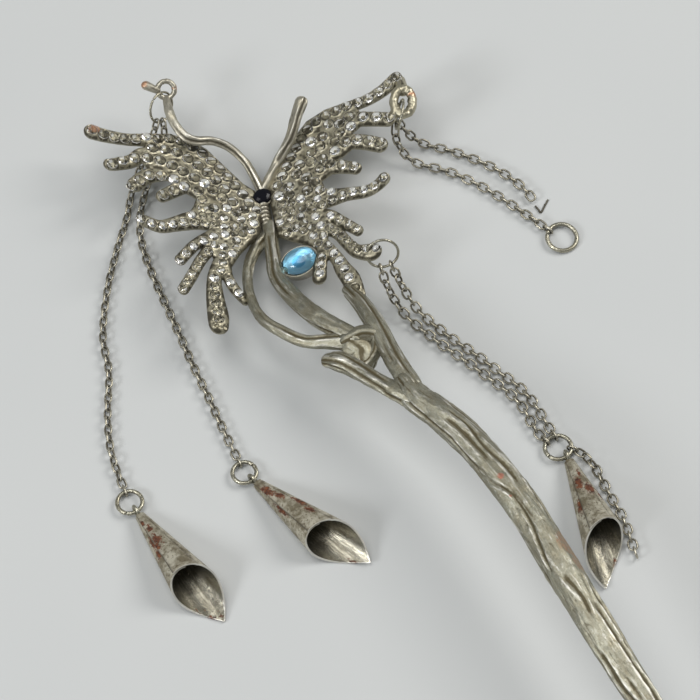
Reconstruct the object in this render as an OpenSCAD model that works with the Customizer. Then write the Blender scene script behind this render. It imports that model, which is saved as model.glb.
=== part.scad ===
// Butterfly hair stick: one cast piece with wings, branches and shank, two main stones,
// jump rings, cable and rolling chains of loose links, and three rolled sheet cones.
// Millimetres. The stick runs along Y with its butterfly at +Y, and lies on z = 0.

/* [Butterfly] */
// Turn of the butterfly from the stick's own line, degrees
butterfly_turn = 25; // [22:0.5:28]
// Height of the wing plate's middle at the body
wing_root_z = 3; // [2.8:0.1:3.4]
// Rise of each wing for each mm outward
wing_rise = 0.33; // [0.3:0.01:0.35]
// Fall of the wings for each mm toward the head
fore_fall = 0.1; // [0.08:0.01:0.12]
// Thickness of a feather
feather_t = 1.9; // [1.6:0.1:2.2]
// Width factor of all feathers
feather_fat = 1.0; // [0.95:0.01:1.05]
// Width of the ribbed body
body_w = 2.1; // [1.8:0.1:2.4]
// Number of ribs on the body
body_ribs = 7; // [6:1:9]

/* [Shank and branches] */
// Width factor of the shank and branches
shank_fat = 1.0; // [0.92:0.01:1.06]
// Depth of the bark ridges as a share of the half width
bark_depth = 0.09; // [0.04:0.01:0.12]
// Distance between the shank's sections
shank_step = 2.8; // [2.6:0.1:3.6]

/* [Stones] */
// Length of the blue stone
blue_l = 6.6; // [6.4:0.1:6.8]
// Width of the blue stone
blue_w = 5; // [4.8:0.1:5.2]
// Height of the blue stone above its cup
blue_h = 1.7; // [1.4:0.1:2]
// Lean of the blue stone's cup away from level, degrees
blue_lean = 10; // [6:1:14]
// Length of the black stone
black_l = 3.3; // [3.1:0.1:3.5]
// Width of the black stone
black_w = 2.8; // [2.6:0.1:3]
// Gap between a stone and its cup
stone_gap = 0.1; // [0.08:0.01:0.12]

/* [Chains] */
// Wire of the cable and rolling links
link_wire = 0.34; // [0.32:0.01:0.35]
// Width of a pendant chain's link
cable_w = 1.72; // [1.7:0.01:1.76]
// Distance between two links of a rolling chain
rolling_pitch = 1.58; // [1.55:0.01:1.64]
// Play between two hooked links
link_play = 0.27; // [0.24:0.01:0.28]
// Roll of the links about the chain's line, degrees
link_roll = 28; // [20:1:36]

/* [Cones] */
// Sheet of the rolled cones
sheet_t = 0.36; // [0.34:0.01:0.38]
// Length from the cone's neck to its tip
cone_l = 25.3; // [24.8:0.1:25.8]
// Radius at the neck
cone_neck = 1.05; // [1:0.01:1.1]
// Growth of the radius for each mm along the cone
cone_slope = 0.18; // [0.172:0.002:0.186]
// Share of the length where the mouth's upper rim stands
cone_mouth = 0.59; // [0.56:0.01:0.62]

/* [Hidden] */

// Shift that brings the middle of the outer box to x = y = 0.
seat = [6.23, 70.978, 0];

silver = [0.62, 0.60, 0.55];
steel = [0.55, 0.53, 0.47];
rust_silver = [0.66, 0.63, 0.57];

function unit(v) = v / max(norm(v), 1e-9);
function head3(p) = [p[0], p[1], p[2]];

// Smooth curve through the rows of p at t from 0 to len(p) - 1.
function curve(p, t) =
  let (n = len(p) - 1, i = min(floor(t), n - 1), f = t - i,
       a = p[max(i - 1, 0)], b = p[i], c = p[i + 1], d = p[min(i + 2, n)])
  b + 0.5 * f * ((c - a) + f * ((2 * a - 5 * b + 4 * c - d) + f * (3 * (b - c) + d - a)));

function spread(p, k) = [for (i = [0:(len(p) - 1) * k]) curve(p, i / k)];

// Running length of a list of points, as pairs of length and row number.
function run(p) = [for (i = 0, s = 0; i < len(p);
                        s = s + (i < len(p) - 1 ? norm(head3(p[i + 1]) - head3(p[i])) : 0),
                        i = i + 1) [s, i]];

function at_row(p, r) = let (i = min(floor(r), len(p) - 2)) p[i] + (r - i) * (p[i + 1] - p[i]);

// n + 1 rows at equal distances along p.
function even(p, n) = let (q = run(p), total = q[len(q) - 1][0])
  [for (i = [0:n]) at_row(p, lookup(total * i / n, q))];

function path_length(p) = let (q = run(p)) q[len(q) - 1][0];

// Rows that round off the last row of p, whose column 3 is the width.
function rounded_end(p, steps) =
  let (n = len(p) - 1, e = p[n], d = unit(head3(e) - head3(p[n - 1])))
  [for (k = [1:steps]) let (a = 90 * k / steps, c = max(cos(a), 0.12))
    concat(head3(e) + d * (e[3] / 2 * sin(a)), [e[3] * c, e[4] * max(c, 0.35)])];

function flip(p) = [for (i = [len(p) - 1:-1:0]) p[i]];

function capped(p, steps) =
  concat(flip(rounded_end(flip(p), steps)), p, rounded_end(p, steps));

// A closed tube through rows of [x, y, z, width, height, side rise].
module tube(rows, shape) {
  n = len(rows);
  m = len(shape[0]);
  points = [for (i = [0:n - 1])
    let (a = head3(rows[max(i - 1, 0)]), b = head3(rows[min(i + 1, n - 1)]), t = unit(b - a),
         flat_side = unit([t[1], -t[0], 0]), s = unit(flat_side + [0, 0, rows[i][5]]),
         u = unit(cross(s, t)))
    for (q = shape[i]) head3(rows[i]) + s * q[0] * rows[i][3] + u * q[1] * rows[i][4]];
  faces = concat(
    [[for (j = [m - 1:-1:0]) j]],
    [for (i = [0:n - 2]) for (j = [0:m - 1]) [i * m + j, (i + 1) * m + (j + 1) % m, (i + 1) * m + j]],
    [for (i = [0:n - 2]) for (j = [0:m - 1]) [i * m + j, i * m + (j + 1) % m, (i + 1) * m + (j + 1) % m]],
    [[for (j = [0:m - 1]) (n - 1) * m + j]]);
  polyhedron(points, faces, convexity = 8);
}

// Height of the wing plate's middle at a point of the butterfly's own plane.
function wing_z(x, y) = wing_root_z + wing_rise * abs(x) - fore_fall * y;

// Outline of each wing's plate in the butterfly's own plane, body first, fore wing edge next.
left_plate = [
  [0.4, 0.6], [-2.9, 3.4], [-5.8, 7.4], [-8.5, 11.2], [-11.4, 13.5], [-14.9, 14.6], [-19.5, 14.6],
  [-19.6, 12], [-20.6, 11.2], [-21.4, 8.8], [-20.2, 6.6], [-18.6, 4.3], [-15.6, 3.9], [-14.2, 1.6],
  [-12.2, 0], [-13, -1.9], [-14, -3.4], [-14.4, -6.7], [-10.6, -6.9], [-12, -8.6], [-12, -10.6],
  [-11.2, -12.9], [-10.4, -15.2], [-7.9, -15.2], [-6, -12.4], [-3.9, -10.2], [-1.6, -8.2]
];
right_plate = [
  [1.2, 1.6], [3.7, 5.6], [6.9, 10.4], [10.5, 13.8], [14.3, 15.1], [19.6, 15.3], [20, 13.2],
  [20.4, 12.4], [20.4, 9.4], [18.4, 8.2], [18, 5], [15.8, 3.8], [13.4, 3.4], [13.6, 1],
  [11.2, 0], [11.6, -2], [12.6, -3], [12.4, -5.4], [10.6, -6.4], [11.4, -7.4], [12.2, -9.2],
  [11, -10], [10.2, -13], [10.2, -15.4], [8, -14], [6.3, -12.5], [4.1, -11], [1.4, -8.8]
];

// Feathers past each plate, root to tip. Each column: [x, y, width, lift above the wing plate].
left_feathers = [
  [[-15, 12.6, 3.4, 0], [-18.8, 13.2, 2.7, 0], [-23, 13.3, 2.4, 0], [-26.9, 13.9, 2.7, 0.3],
   [-29.2, 14.6, 3, 0.5]],
  [[-18, 9.8, 3.6, 0], [-20.7, 9.8, 2.9, 0], [-23.1, 8.2, 2.6, 0], [-26.3, 7.4, 2.4, 0.2],
   [-27, 7.4, 2.2, 0.2]],
  [[-15.6, 6.4, 3.6, 0], [-18.4, 5.5, 3, 0], [-20.7, 4.8, 2.9, 0], [-22.9, 3, 2.9, 0]],
  [[-11, 3.6, 3.4, 0], [-14.2, 2.6, 2.7, 0], [-16.4, 1.5, 2.6, 0], [-18.4, 0.4, 2.3, 0]],
  [[-10.6, -4.6, 4, 0], [-14, -5, 3.7, 0], [-16.9, -5.8, 2.9, 0], [-19.7, -6.5, 2.5, 0.3],
   [-22.2, -5.6, 2.3, 0.8]],
  [[-8.6, -7.4, 2.6, 0], [-11.3, -8.8, 2.4, 0], [-14.1, -10.6, 2.1, 0], [-17, -13.7, 2.1, 0]],
  [[-9, -9.4, 2.6, 0], [-11.5, -11.5, 2.3, 0], [-13.5, -14, 2.1, 0], [-15.2, -16.8, 2.1, 0],
   [-17.4, -20.2, 2.1, 0]],
  [[-7.6, -9.8, 3, 0], [-9, -12.8, 2.9, 0], [-11.3, -17.2, 2.6, 0], [-11.9, -21.4, 3.2, 0],
   [-12, -25.8, 3.9, 0], [-12.2, -28, 3.6, 0]],
  [[-7.8, -11.8, 2.6, 0], [-8.9, -14.1, 2.3, 0], [-9, -17.4, 2.1, -0.2], [-8, -20.1, 2.1, -0.6],
   [-6.6, -22, 1.9, -1.2]]
];
right_feathers = [
  [[15, 13.6, 3, 0], [19.3, 14.1, 2.3, 0], [22.3, 14.4, 2.3, 0], [25.3, 15.3, 2.6, 0.2],
   [27.8, 16.7, 2.8, 0.5]],
  [[16, 11, 3.4, 0], [19.3, 10.9, 3, 0], [21.6, 10.2, 2.8, 0], [25.2, 8.7, 2.7, 0]],
  [[14.6, 6.8, 3.4, 0], [17.6, 6.5, 3, 0], [20.2, 5.4, 2.9, 0], [22.8, 3.7, 2.8, 0]],
  [[10.4, 3.2, 3, 0], [12.8, 2.5, 2.9, 0], [15.4, 1.6, 2.5, 0], [17.7, 0.3, 2.1, 0]],
  [[9, -3.8, 4, 0], [12, -4.2, 3.6, 0], [15.1, -4.5, 2.6, 0], [18.5, -5.3, 2.3, 0.2],
   [20.6, -5, 2.3, 0.6], [22, -4.3, 2.4, 1.2]],
  [[8.6, -6.4, 2.6, 0], [11.4, -8, 2.3, 0], [13.1, -9.8, 2.1, 0], [15.8, -13, 1.9, 0]],
  [[8.4, -8.4, 2.8, 0], [10.3, -10.3, 2.5, 0], [12.1, -12.1, 2.2, 0], [13.4, -14.8, 2.2, 0],
   [14.8, -17.1, 2.5, 0], [17, -18.2, 3.3, 0], [17.6, -18.3, 3.2, 0]],
  [[7.6, -11.4, 2.6, 0], [9.2, -13.4, 2.3, 0], [11, -17.2, 2.4, 0], [11.8, -20, 3, 0],
   [12.8, -22.7, 3.4, 0], [13.3, -26.2, 3.1, -0.4]],
  [[6.8, -11, 2.4, 0], [8.5, -13.6, 2.2, 0], [8.6, -15.9, 2.3, 0], [7.9, -17.8, 2.6, 0],
   [7.4, -20.2, 2.7, 0]]
];

// Outline of one feather: both edges of its curve and a round tip.
module feather_outline(points) {
  c = spread(points, 2);
  n = len(c) - 1;
  way = [for (i = [0:n]) let (a = c[max(i - 1, 0)], b = c[min(i + 1, n)]) unit([b[0] - a[0], b[1] - a[1]])];
  side = [for (i = [0:n]) [-way[i][1], way[i][0]] * c[i][2] * feather_fat / 2];
  tip = [for (k = [1:5]) let (a = 90 - 30 * k)
    [c[n][0], c[n][1]] + sin(a) * side[n] + cos(a) * way[n] * c[n][2] * feather_fat / 2];
  polygon(concat(
    [for (i = [0:n]) [c[i][0], c[i][1]] + side[i]],
    tip,
    [for (i = [n:-1:0]) [c[i][0], c[i][1]] - side[i]]));
}

module wing_outline(outline, feathers) {
  polygon(outline);
  for (f = feathers) feather_outline(f);
}

// The outline raised to a plate with a lower, wider part and an inset crown.
module wing(outline, feathers, way) {
  multmatrix([[1, 0, 0, 0], [0, 1, 0, 0], [way * wing_rise, -fore_fall, 1, wing_root_z - 0.5 * feather_t]]) {
    linear_extrude(feather_t * 0.72) wing_outline(outline, feathers);
    translate([0, 0, 0.2]) linear_extrude(feather_t - 0.2) offset(delta = -0.3) wing_outline(outline, feathers);
  }
}

// Bark section: three broad lobes and five fine ridges that wander along the branch.
function bark(s, sides, phase) = [for (j = [0:sides - 1])
  let (a = 360 * j / sides,
       r = 0.5 * (1 - bark_depth + bark_depth * (0.6 * cos(3 * a + 9 * s + phase)
           + 0.4 * cos(5 * a - 14 * s + 2 * phase))))
  [r * cos(a), r * sin(a)]];

module branch(points, sides, step, phase) {
  dense = spread(points, 6);
  count = max(3, round(path_length(dense) / step));
  rows = [for (q = even(dense, count)) [q[0], q[1], q[2], q[3] * shank_fat, q[4] * shank_fat]];
  ends = capped(rows, 2);
  full = [for (q = ends) concat(q, [0])];
  tube(full, [for (i = [0:len(full) - 1]) bark(i * step, sides, phase)]);
}

// Branches and shank, butterfly to tip. Columns: [x, y, z, width, depth].
left_branch = [
  [-2.8, -6.6, 3.4, 2.6, 2.6], [-7.6, -8.9, 4.6, 2.5, 2.6], [-11.6, -12.5, 5.8, 2.2, 2.4],
  [-14.2, -17.3, 7, 1.9, 2.4], [-15.3, -22.5, 8, 2, 2.4], [-14.3, -27.1, 9, 2.3, 2.4],
  [-12.3, -31.6, 10, 2.5, 2.4], [-9, -34.6, 11, 3.1, 2.6], [-5.8, -37.2, 12, 4.2, 3]
];
middle_branch = [
  [-2.4, -5.9, 3.6, 3, 3.4], [-5.4, -11.4, 5.2, 2.9, 3], [-7.8, -16.2, 6.5, 3.2, 3.1],
  [-8.4, -21.2, 8, 3.5, 3.2], [-8, -26.4, 9.5, 3.8, 3.3], [-6.8, -31.8, 11, 3.8, 3.4],
  [-5, -37, 12, 3.8, 3.6]
];
right_branch = [
  [0.4, -27.8, 9.6, 2.9, 2.8], [0.4, -31.4, 10.6, 3.5, 3], [-0.4, -37.2, 12, 3.9, 3.4],
  [-1.8, -44.2, 13, 3.9, 3.6], [-2.7, -51.5, 14, 4.3, 4]
];
lower_branch = [
  [-11, -37.7, 10.8, 2.9, 2.5], [-9.7, -39.2, 11.4, 4.2, 3], [-8.3, -42.3, 12, 3.9, 3],
  [-6.6, -48, 13.2, 3.3, 3.1], [-4.4, -53.4, 14, 3.8, 3.5]
];
// Knot where the branches meet, and the short curl below it. Columns: [x, y, z, radius].
stub = [
  [-6.3, -36.8, 11.9, 1.7], [-3.4, -37.4, 12.2, 1.85], [-1.7, -39.3, 12.1, 1.6],
  [-3.2, -41.1, 11.6, 1.35], [-5, -42, 11.4, 1.2], [-6.8, -42.4, 11.6, 1.1]
];
// Solid web between the knot and the lower branch. Columns: [x, y, z, radius].
web = [
  [-6.6, -38.2, 11.6, 1.9], [-5.8, -41, 11.2, 1.75], [-8.6, -40.3, 11.2, 1.55]
];
shank = [
  [-3.3, -50.6, 13.9, 4.8, 4.2], [-3.3, -54.3, 14.3, 5.9, 4.8], [-2.3, -58.9, 15, 6.1, 5],
  [-1.2, -66.7, 16, 6.4, 5.1], [-0.95, -76, 17, 6.5, 5.1], [-1.2, -83, 17.4, 6.5, 5.1],
  [-2.1, -91.6, 17.6, 6.7, 5.1], [-3.2, -100.6, 17.6, 6.7, 5.1], [-4.2, -108.5, 17.2, 6.5, 5],
  [-4.75, -116, 16.3, 6.2, 4.9], [-4.8, -123, 15.3, 5.9, 4.8], [-5, -136, 12, 5, 4.5],
  [-5.1, -148, 8, 4.3, 4.1], [-5.2, -160, 4.2, 3.6, 3.5], [-5.1, -167, 1.8, 3.2, 3.2],
  [-5, -170, 1.28, 2.9, 2.9]
];
// Antennae. Columns: [x, y, z, width, depth].
left_antenna = [
  [0.6, 0.9, 3.6, 1.8, 1.8], [1, 3.8, 4.6, 1.6, 1.6], [1.2, 7.4, 5.6, 1.6, 1.6],
  [0.2, 10.9, 6.6, 1.6, 1.6], [-1.9, 13.4, 7.5, 1.6, 1.6], [-4.5, 14.5, 8.5, 1.7, 1.6],
  [-5.9, 16.1, 9, 1.8, 1.7], [-6.2, 18.8, 9.5, 1.8, 1.7], [-5.7, 22, 9.8, 1.9, 1.7],
  [-4.6, 24.6, 9.7, 1.5, 1.4]
];
right_antenna = [
  [1.4, 1.4, 3.8, 1.8, 1.8], [6.3, 4, 5.5, 2, 2], [10, 5.5, 7.8, 2.1, 2],
  [13, 7.8, 9.4, 2.3, 2.1], [15.2, 9.3, 10.6, 2.6, 2.3]
];

// A ring bent from round stock, as a chain of hulls; stretch makes it longer than wide.
module bent_loop(centre, turn, major, minor, steps, stretch = 1) {
  translate(centre) rotate(turn) for (i = [0:steps - 1])
    hull() for (a = [360 * i / steps, 360 * (i + 1) / steps])
      translate([major * cos(a), stretch * major * sin(a), 0]) rotate([0, 0, a]) sphere(minor, $fn = 8);
}

module rod(a, b, ra, rb) {
  hull() {
    translate(a) sphere(ra, $fn = 10);
    translate(b) sphere(rb, $fn = 10);
  }
}

antenna_loop_at = [-3.73, 26.04, 10.4];
tip_loop_at = [30.48, -1.75, 11.6];
black_at = [0, 0, 3.6];
blue_at = [-2.56, -16.09, 6];
pad_hole_at = [7.2, -23.9];

// Outside of a cup for a stone of the given length and width, and the seat cut into it.
module oval_cup(stone_l, stone_w, h, wall) {
  l = stone_l + 2 * stone_gap + 2 * wall;
  w = stone_w + 2 * stone_gap + 2 * wall;
  scale([1, w / l, 1]) cylinder(h = h, d1 = l - 0.4, d2 = l, $fn = 28);
}

module oval_seat(stone_l, stone_w) {
  l = stone_l + 2 * stone_gap;
  scale([1, (stone_w + 2 * stone_gap) / l, 1]) cylinder(h = 3, d = l, $fn = 28);
}

module at_blue() translate(blue_at) rotate([blue_lean * 0.3, -blue_lean * 1.9, -17]) children();

// Body from head to tail, wide at each rib and narrow between two.
module ribbed_body() {
  rows = [for (i = [0:2 * body_ribs]) let (f = i / (2 * body_ribs), w = i % 2 == 1 ? 1 : 0.76)
    [-0.2 - 2.7 * f, -0.4 - 5.4 * f, 2.4 + 0.5 * f, body_w * (1 + 0.25 * sin(180 * f)) * w, 4.5 * w, 0]];
  tube(rows, [for (q = rows) [for (j = [0:8]) let (a = 40 * j + 20) 0.5 * [cos(a), sin(a)]]]);
}

module casting() color(silver) translate(seat) difference() {
  union() {
    rotate([0, 0, -butterfly_turn]) {
      wing(left_plate, left_feathers, -1);
      wing(right_plate, right_feathers, 1);
    }
    ribbed_body();
    translate(black_at + [0, 0, -1.37]) oval_cup(black_l, black_w, 1.9, 0.4);
    at_blue() translate([0, 0, -2.2]) oval_cup(blue_l, blue_w, 2.7, 0.4);
    rod(blue_at + [-2, 0.4, -1.4], [-7.6, -15.6, 6], 0.9, 1);
    branch(left_branch, 8, 2.8, 15);
    branch(middle_branch, 9, 2.8, 80);
    branch(right_branch, 9, 2.8, 115);
    branch(lower_branch, 8, 2.8, 115);
    for (p = [stub, web], i = [0:len(p) - 2]) rod(head3(p[i]), head3(p[i + 1]), p[i][3], p[i + 1][3]);
    branch(shank, 11, shank_step, 30);
    branch(left_antenna, 7, 2.6, 20);
    branch(right_antenna, 7, 2.6, 70);
    bent_loop(antenna_loop_at, [29.2, -14.9, 0], 1.55, 0.5, 12);
    rod(antenna_loop_at + [-1.5, 0.7, 0.1], antenna_loop_at + [-2.7, 2.6, 0.4], 0.7, 0.95);
    bent_loop(tip_loop_at, [13, 0, -35], 1.7, 0.85, 12, 1.45);
    rod(tip_loop_at + [1.3, 1.9, 0.1], [32.7, 3, 10.6], 1.1, 1.4);
    rod(tip_loop_at + [-1.9, -0.4, -0.2], [27.2, -2.9, 11], 0.8, 1);
  }
  translate(black_at) oval_seat(black_l, black_w);
  at_blue() oval_seat(blue_l, blue_w);
  translate([pad_hole_at[0], pad_hole_at[1], 8]) cylinder(h = 8, r = 0.95, $fn = 14);
}

// Faceted stone: flat table, a ring of crown facets, thin girdle and pavilion.
module cut_stone(l, w, crown, pavilion, sides) {
  scale([1, w / l, 1]) hull() {
    translate([0, 0, crown - 0.02]) cylinder(h = 0.02, d = l * 0.5, $fn = sides);
    translate([0, 0, crown * 0.55]) rotate([0, 0, 180 / sides]) cylinder(h = 0.02, d = l * 0.86, $fn = sides);
    translate([0, 0, -0.15]) cylinder(h = 0.3, d = l, $fn = sides);
    translate([0, 0, -pavilion]) cylinder(h = 0.02, d = l * 0.6, $fn = sides);
  }
}

module black_stone() color([0.03, 0.03, 0.035]) translate(seat + black_at + [0, 0, 0.35 + stone_gap])
  cut_stone(black_l, black_w, 0.8, 0.35, 12);

module blue_stone() color([0.35, 0.65, 0.9]) translate(seat) at_blue()
  translate([0, 0, 0.35 + stone_gap]) cut_stone(blue_l, blue_w, blue_h, 0.35, 12);

// Jump rings. Columns: [x, y, z, tilt about X, tilt about Y, radius to the wire's middle, wire].
antenna_ring_row = [-6.1, 24.21, 8.74, 58.6, 39.2, 2.9, 0.46];
upper_ring_row = [28.41, -3.52, 11.53, -39.6, -73, 2.75, 0.5];
lower_ring_row = [9.47, -25.13, 10.3, 51.5, -41, 2.9, 0.5];
left_ring_a_row = [-53.28, -36.73, 1.07, -4, 0, 2.25, 0.76];
left_ring_b_row = [-33.3, -43.5, 1.07, -4, 1, 2.15, 0.76];
right_ring_row = [15.65, -71.34, 1.1, -4, -1, 2.4, 0.8];
free_ring_row = [41.7, -37, 0.77, 3.5, 2, 2.75, 0.8];

// Point of a ring at an angle in its own plane and a radius, and the wire's direction there.
function ring_x(q) = [cos(q[4]), 0, -sin(q[4])];
function ring_y(q) = [sin(q[3]) * sin(q[4]), cos(q[3]), sin(q[3]) * cos(q[4])];
function ring_point(q, a, r) = head3(q) + r * (cos(a) * ring_x(q) + sin(a) * ring_y(q));
function ring_way(q, a) = cos(a) * ring_y(q) - sin(a) * ring_x(q);
// Where a chain's line ends so that its last link holds the ring's wire.
function hook(q, a) = ring_point(q, a, q[5] - (q[6] + link_play) / 2);

module jump_ring(q) color(steel) translate(seat + [q[0], q[1], q[2]]) rotate([q[3], q[4], 0])
  rotate_extrude($fn = 64) translate([q[5], 0]) circle(q[6] / 2, $fn = 24);

module antenna_ring() jump_ring(antenna_ring_row);
module upper_wing_ring() jump_ring(upper_ring_row);
module lower_wing_ring() jump_ring(lower_ring_row);
module left_ring_a() jump_ring(left_ring_a_row);
module left_ring_b() jump_ring(left_ring_b_row);
module free_ring() jump_ring(free_ring_row);
module right_ring() jump_ring(right_ring_row);

// One oval link stamped from flat stock.
module oval(l, w) {
  for (s = [-1, 1]) translate([s * (l - w) / 2, 0]) circle(w / 2, $fn = 32);
  square([l - w, 0.97 * w], center = true);
}

module link(l, w, wire) {
  linear_extrude(wire, center = true) difference() {
    oval(l, w);
    oval(l - 2 * wire, w - 2 * wire);
  }
}

// Turn of a link about its line that sets its flat face across a wire of direction way.
function facing(way, t) = let (s = unit(cross([0, 0, 1], t)), u = cross(t, s)) atan2(-(way * s), way * u);
// The turn nearest to a given one among those that look the same.
function nearest(a, b) = a + 180 * round((b - a) / 180);

// Links strung along a curve through points, one link to each equal step. Where a wire is named
// at an end, the links turn little by little so that the end link holds that wire squarely.
module chain(points, pitch, w, roll, first, last) {
  dense = spread(points, 8);
  count = round(path_length(dense) / pitch);
  rows = even(dense, count);
  step = path_length(dense) / count;
  l = step + 2 * link_wire + link_play;
  end_turn = 90 * ((count - 1) % 2);
  start = len(first) == 0 ? roll : nearest(facing(first, unit(rows[1] - rows[0])), roll);
  end = len(last) == 0 ? roll : nearest(facing(last, unit(rows[count] - rows[count - 1])) - end_turn, roll);
  color(steel) translate(seat) for (i = [0:count - 1]) {
    a = rows[i];
    b = rows[i + 1];
    t = unit(b - a);
    s = unit(cross([0, 0, 1], t));
    u = cross(t, s);
    m = (a + b) / 2;
    turn = roll + (start - roll) * max(0, 1 - i / 6) + (end - roll) * max(0, 1 - (count - 1 - i) / 6);
    multmatrix([[t[0], s[0], u[0], m[0]], [t[1], s[1], u[1], m[1]], [t[2], s[2], u[2], m[2]]])
      rotate([turn + 90 * (i % 2), 0, 0]) link(l, w, link_wire);
  }
}

// Chain lines between the two hooks, wing end first. Columns: [x, y, z].
left_line_a = [
  [-10.2, 21.4, 5.4], [-12.9, 19.9, 3.6], [-15.8, 17.9, 2.4], [-19.2, 15.2, 1.4], [-22.2, 12, 0.92],
  [-27.9, 6.9, 0.92], [-33.7, 1, 0.92], [-39.3, -6.3, 0.92], [-42.2, -12.8, 0.92],
  [-47.4, -20.4, 0.92], [-50.8, -27, 0.92]
];
left_line_b = [
  [-7.7, 21, 4.6], [-9.3, 19.6, 3.4], [-11.8, 18, 2.6], [-14.8, 15.8, 1.9], [-17.8, 13.2, 1.3],
  [-20.8, 9.8, 0.92],
  [-23.4, 4.4, 0.92], [-25.4, -3.4, 0.92], [-27.4, -13.1, 0.92], [-28.9, -20, 0.92],
  [-30.3, -27.6, 0.92], [-31.6, -34, 0.92]
];
upper_line_a = [
  [28.9, -1.8, 7.6], [29.4, -2.8, 5.4], [30.3, -4.3, 3.3], [31.5, -5.9, 1.7], [32.8, -7.3, 1],
  [34.2, -8.9, 0.97], [35.8, -10.9, 0.97], [37.6, -13.7, 0.97], [39.4, -16.9, 0.97],
  [40.8, -20.2, 0.97], [41.7, -23.3, 0.97], [42, -25.6, 0.97], [41.95, -27.5, 0.97]
];
upper_line_b = [
  [27.2, -3.8, 7.3], [26.9, -4.9, 5.2], [27.1, -6.5, 3.4], [27.8, -8.2, 2.1], [29, -9.8, 1.3],
  [30.6, -11.4, 1], [32.8, -14.2, 0.97], [34.6, -17.5, 0.97], [36.2, -21, 0.97],
  [37.5, -24.6, 0.98], [38.6, -28.1, 1], [39.7, -31.6, 1]
];
// Middle line between the two rolling chains. Columns: [x, y, z, half the distance between them].
rolling_line = [
  [9.1, -28.5, 6.1, 1.25], [9.2, -30.2, 4.3, 1.3], [9.35, -32.1, 2.8, 1.3], [9.6, -34.3, 1.7, 1.25],
  [10.15, -36.9, 1.2, 1.15], [10.85, -39.6, 1.09, 1.08], [11.6, -42.6, 1.09, 1.07],
  [13.4, -48.2, 1.09, 1.07], [14.8, -53.4, 1.09, 1.07], [16, -57.8, 1.09, 1.07],
  [16.2, -61.6, 1.09, 1.1], [15.75, -64.8, 1.09, 1.15], [15.5, -66.4, 1.09, 1.2]
];
// One of two lines beside a middle line, to its right where way is 1.
function beside(p, way) = [for (i = [0:len(p) - 1])
  let (a = p[max(i - 1, 0)], b = p[min(i + 1, len(p) - 1)], t = unit([b[0] - a[0], b[1] - a[1]]))
  head3(p[i]) + way * p[i][3] * [-t[1], t[0], 0]];
tail_line = [
  [18.3, -74.3, 1.07], [18.7, -76.1, 1.07], [18.7, -78.8, 1.07], [18.1, -81.7, 1.07], [17.6, -84.6, 1.07],
  [17.2, -87.6, 1.07], [16.5, -90.6, 1.07], [15.5, -93.4, 1.07], [14.5, -96.4, 1.07]
];

// Angles on the rings where chains hook.
antenna_hooks = [-105, -70];
upper_hooks = [145, -178];
lower_hooks = [-106, -151];
ring_a_hook = 78;
ring_b_hook = 80;
free_hook = 117;
right_hooks = [62, 120];
tail_hook = -38;

// Last link of the upper chain, pulled open and lying flat.
open_link_line = [[41.75, -28.7], [41.85, -30.3], [44.4, -28.9]];
module open_link(points, wire) color(steel) translate(seat) linear_extrude(wire)
  for (i = [0:len(points) - 2]) hull() {
    translate(points[i]) circle(wire * 0.6, $fn = 12);
    translate(points[i + 1]) circle(wire * 0.6, $fn = 12);
  }

module hooked(line, pitch, w, roll, ring_a, hook_a, ring_b, hook_b) {
  chain(concat([hook(ring_a, hook_a)], line, [hook(ring_b, hook_b)]), pitch, w, roll,
        ring_way(ring_a, hook_a), ring_way(ring_b, hook_b));
}

module left_chain_a() hooked(left_line_a, 1.56, cable_w, link_roll,
  antenna_ring_row, antenna_hooks[0], left_ring_a_row, ring_a_hook);
module left_chain_b() hooked(left_line_b, 1.56, cable_w, link_roll,
  antenna_ring_row, antenna_hooks[1], left_ring_b_row, ring_b_hook);
module upper_chain_a() {
  chain(concat([hook(upper_ring_row, upper_hooks[0])], upper_line_a),
    1.66, cable_w + 0.1, link_roll - 8, ring_way(upper_ring_row, upper_hooks[0]), []);
  open_link(open_link_line, link_wire);
}
module upper_chain_b() hooked(upper_line_b, 1.66, cable_w + 0.1, link_roll - 8,
  upper_ring_row, upper_hooks[1], free_ring_row, free_hook);
module rolling_chain_a() hooked(beside(rolling_line, 1), rolling_pitch, cable_w + 0.26, link_roll,
  lower_ring_row, lower_hooks[0], right_ring_row, right_hooks[0]);
module rolling_chain_b() hooked(beside(rolling_line, -1), rolling_pitch, cable_w + 0.26, link_roll,
  lower_ring_row, lower_hooks[1], right_ring_row, right_hooks[1]);
module rolling_tail() chain(concat([hook(right_ring_row, tail_hook)], tail_line),
  rolling_pitch, cable_w + 0.26, link_roll - 16, ring_way(right_ring_row, tail_hook), []);

// Rolled cone lying along +X from its eyelet at the origin, on z = 0.
wrap = 400;
wrap_start = -35;
wrap_shrink = 0.54;
function cone_reach(a) = let (f = abs(((a + 540) % 360) - 180) / 180)
  cone_l * (cone_mouth + (1 - cone_mouth) * f * f);
function cone_point(a, f, inner, roll) =
  let (x = 0.9 + cone_reach(a + wrap_start - roll) * f, r0 = cone_neck + cone_slope * x,
       r = r0 - wrap_shrink * a / 360 - inner * sheet_t, q = a + wrap_start)
  [x, r * sin(q), r0 - wrap_shrink * 215 / 360 + r * cos(q)];

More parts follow.
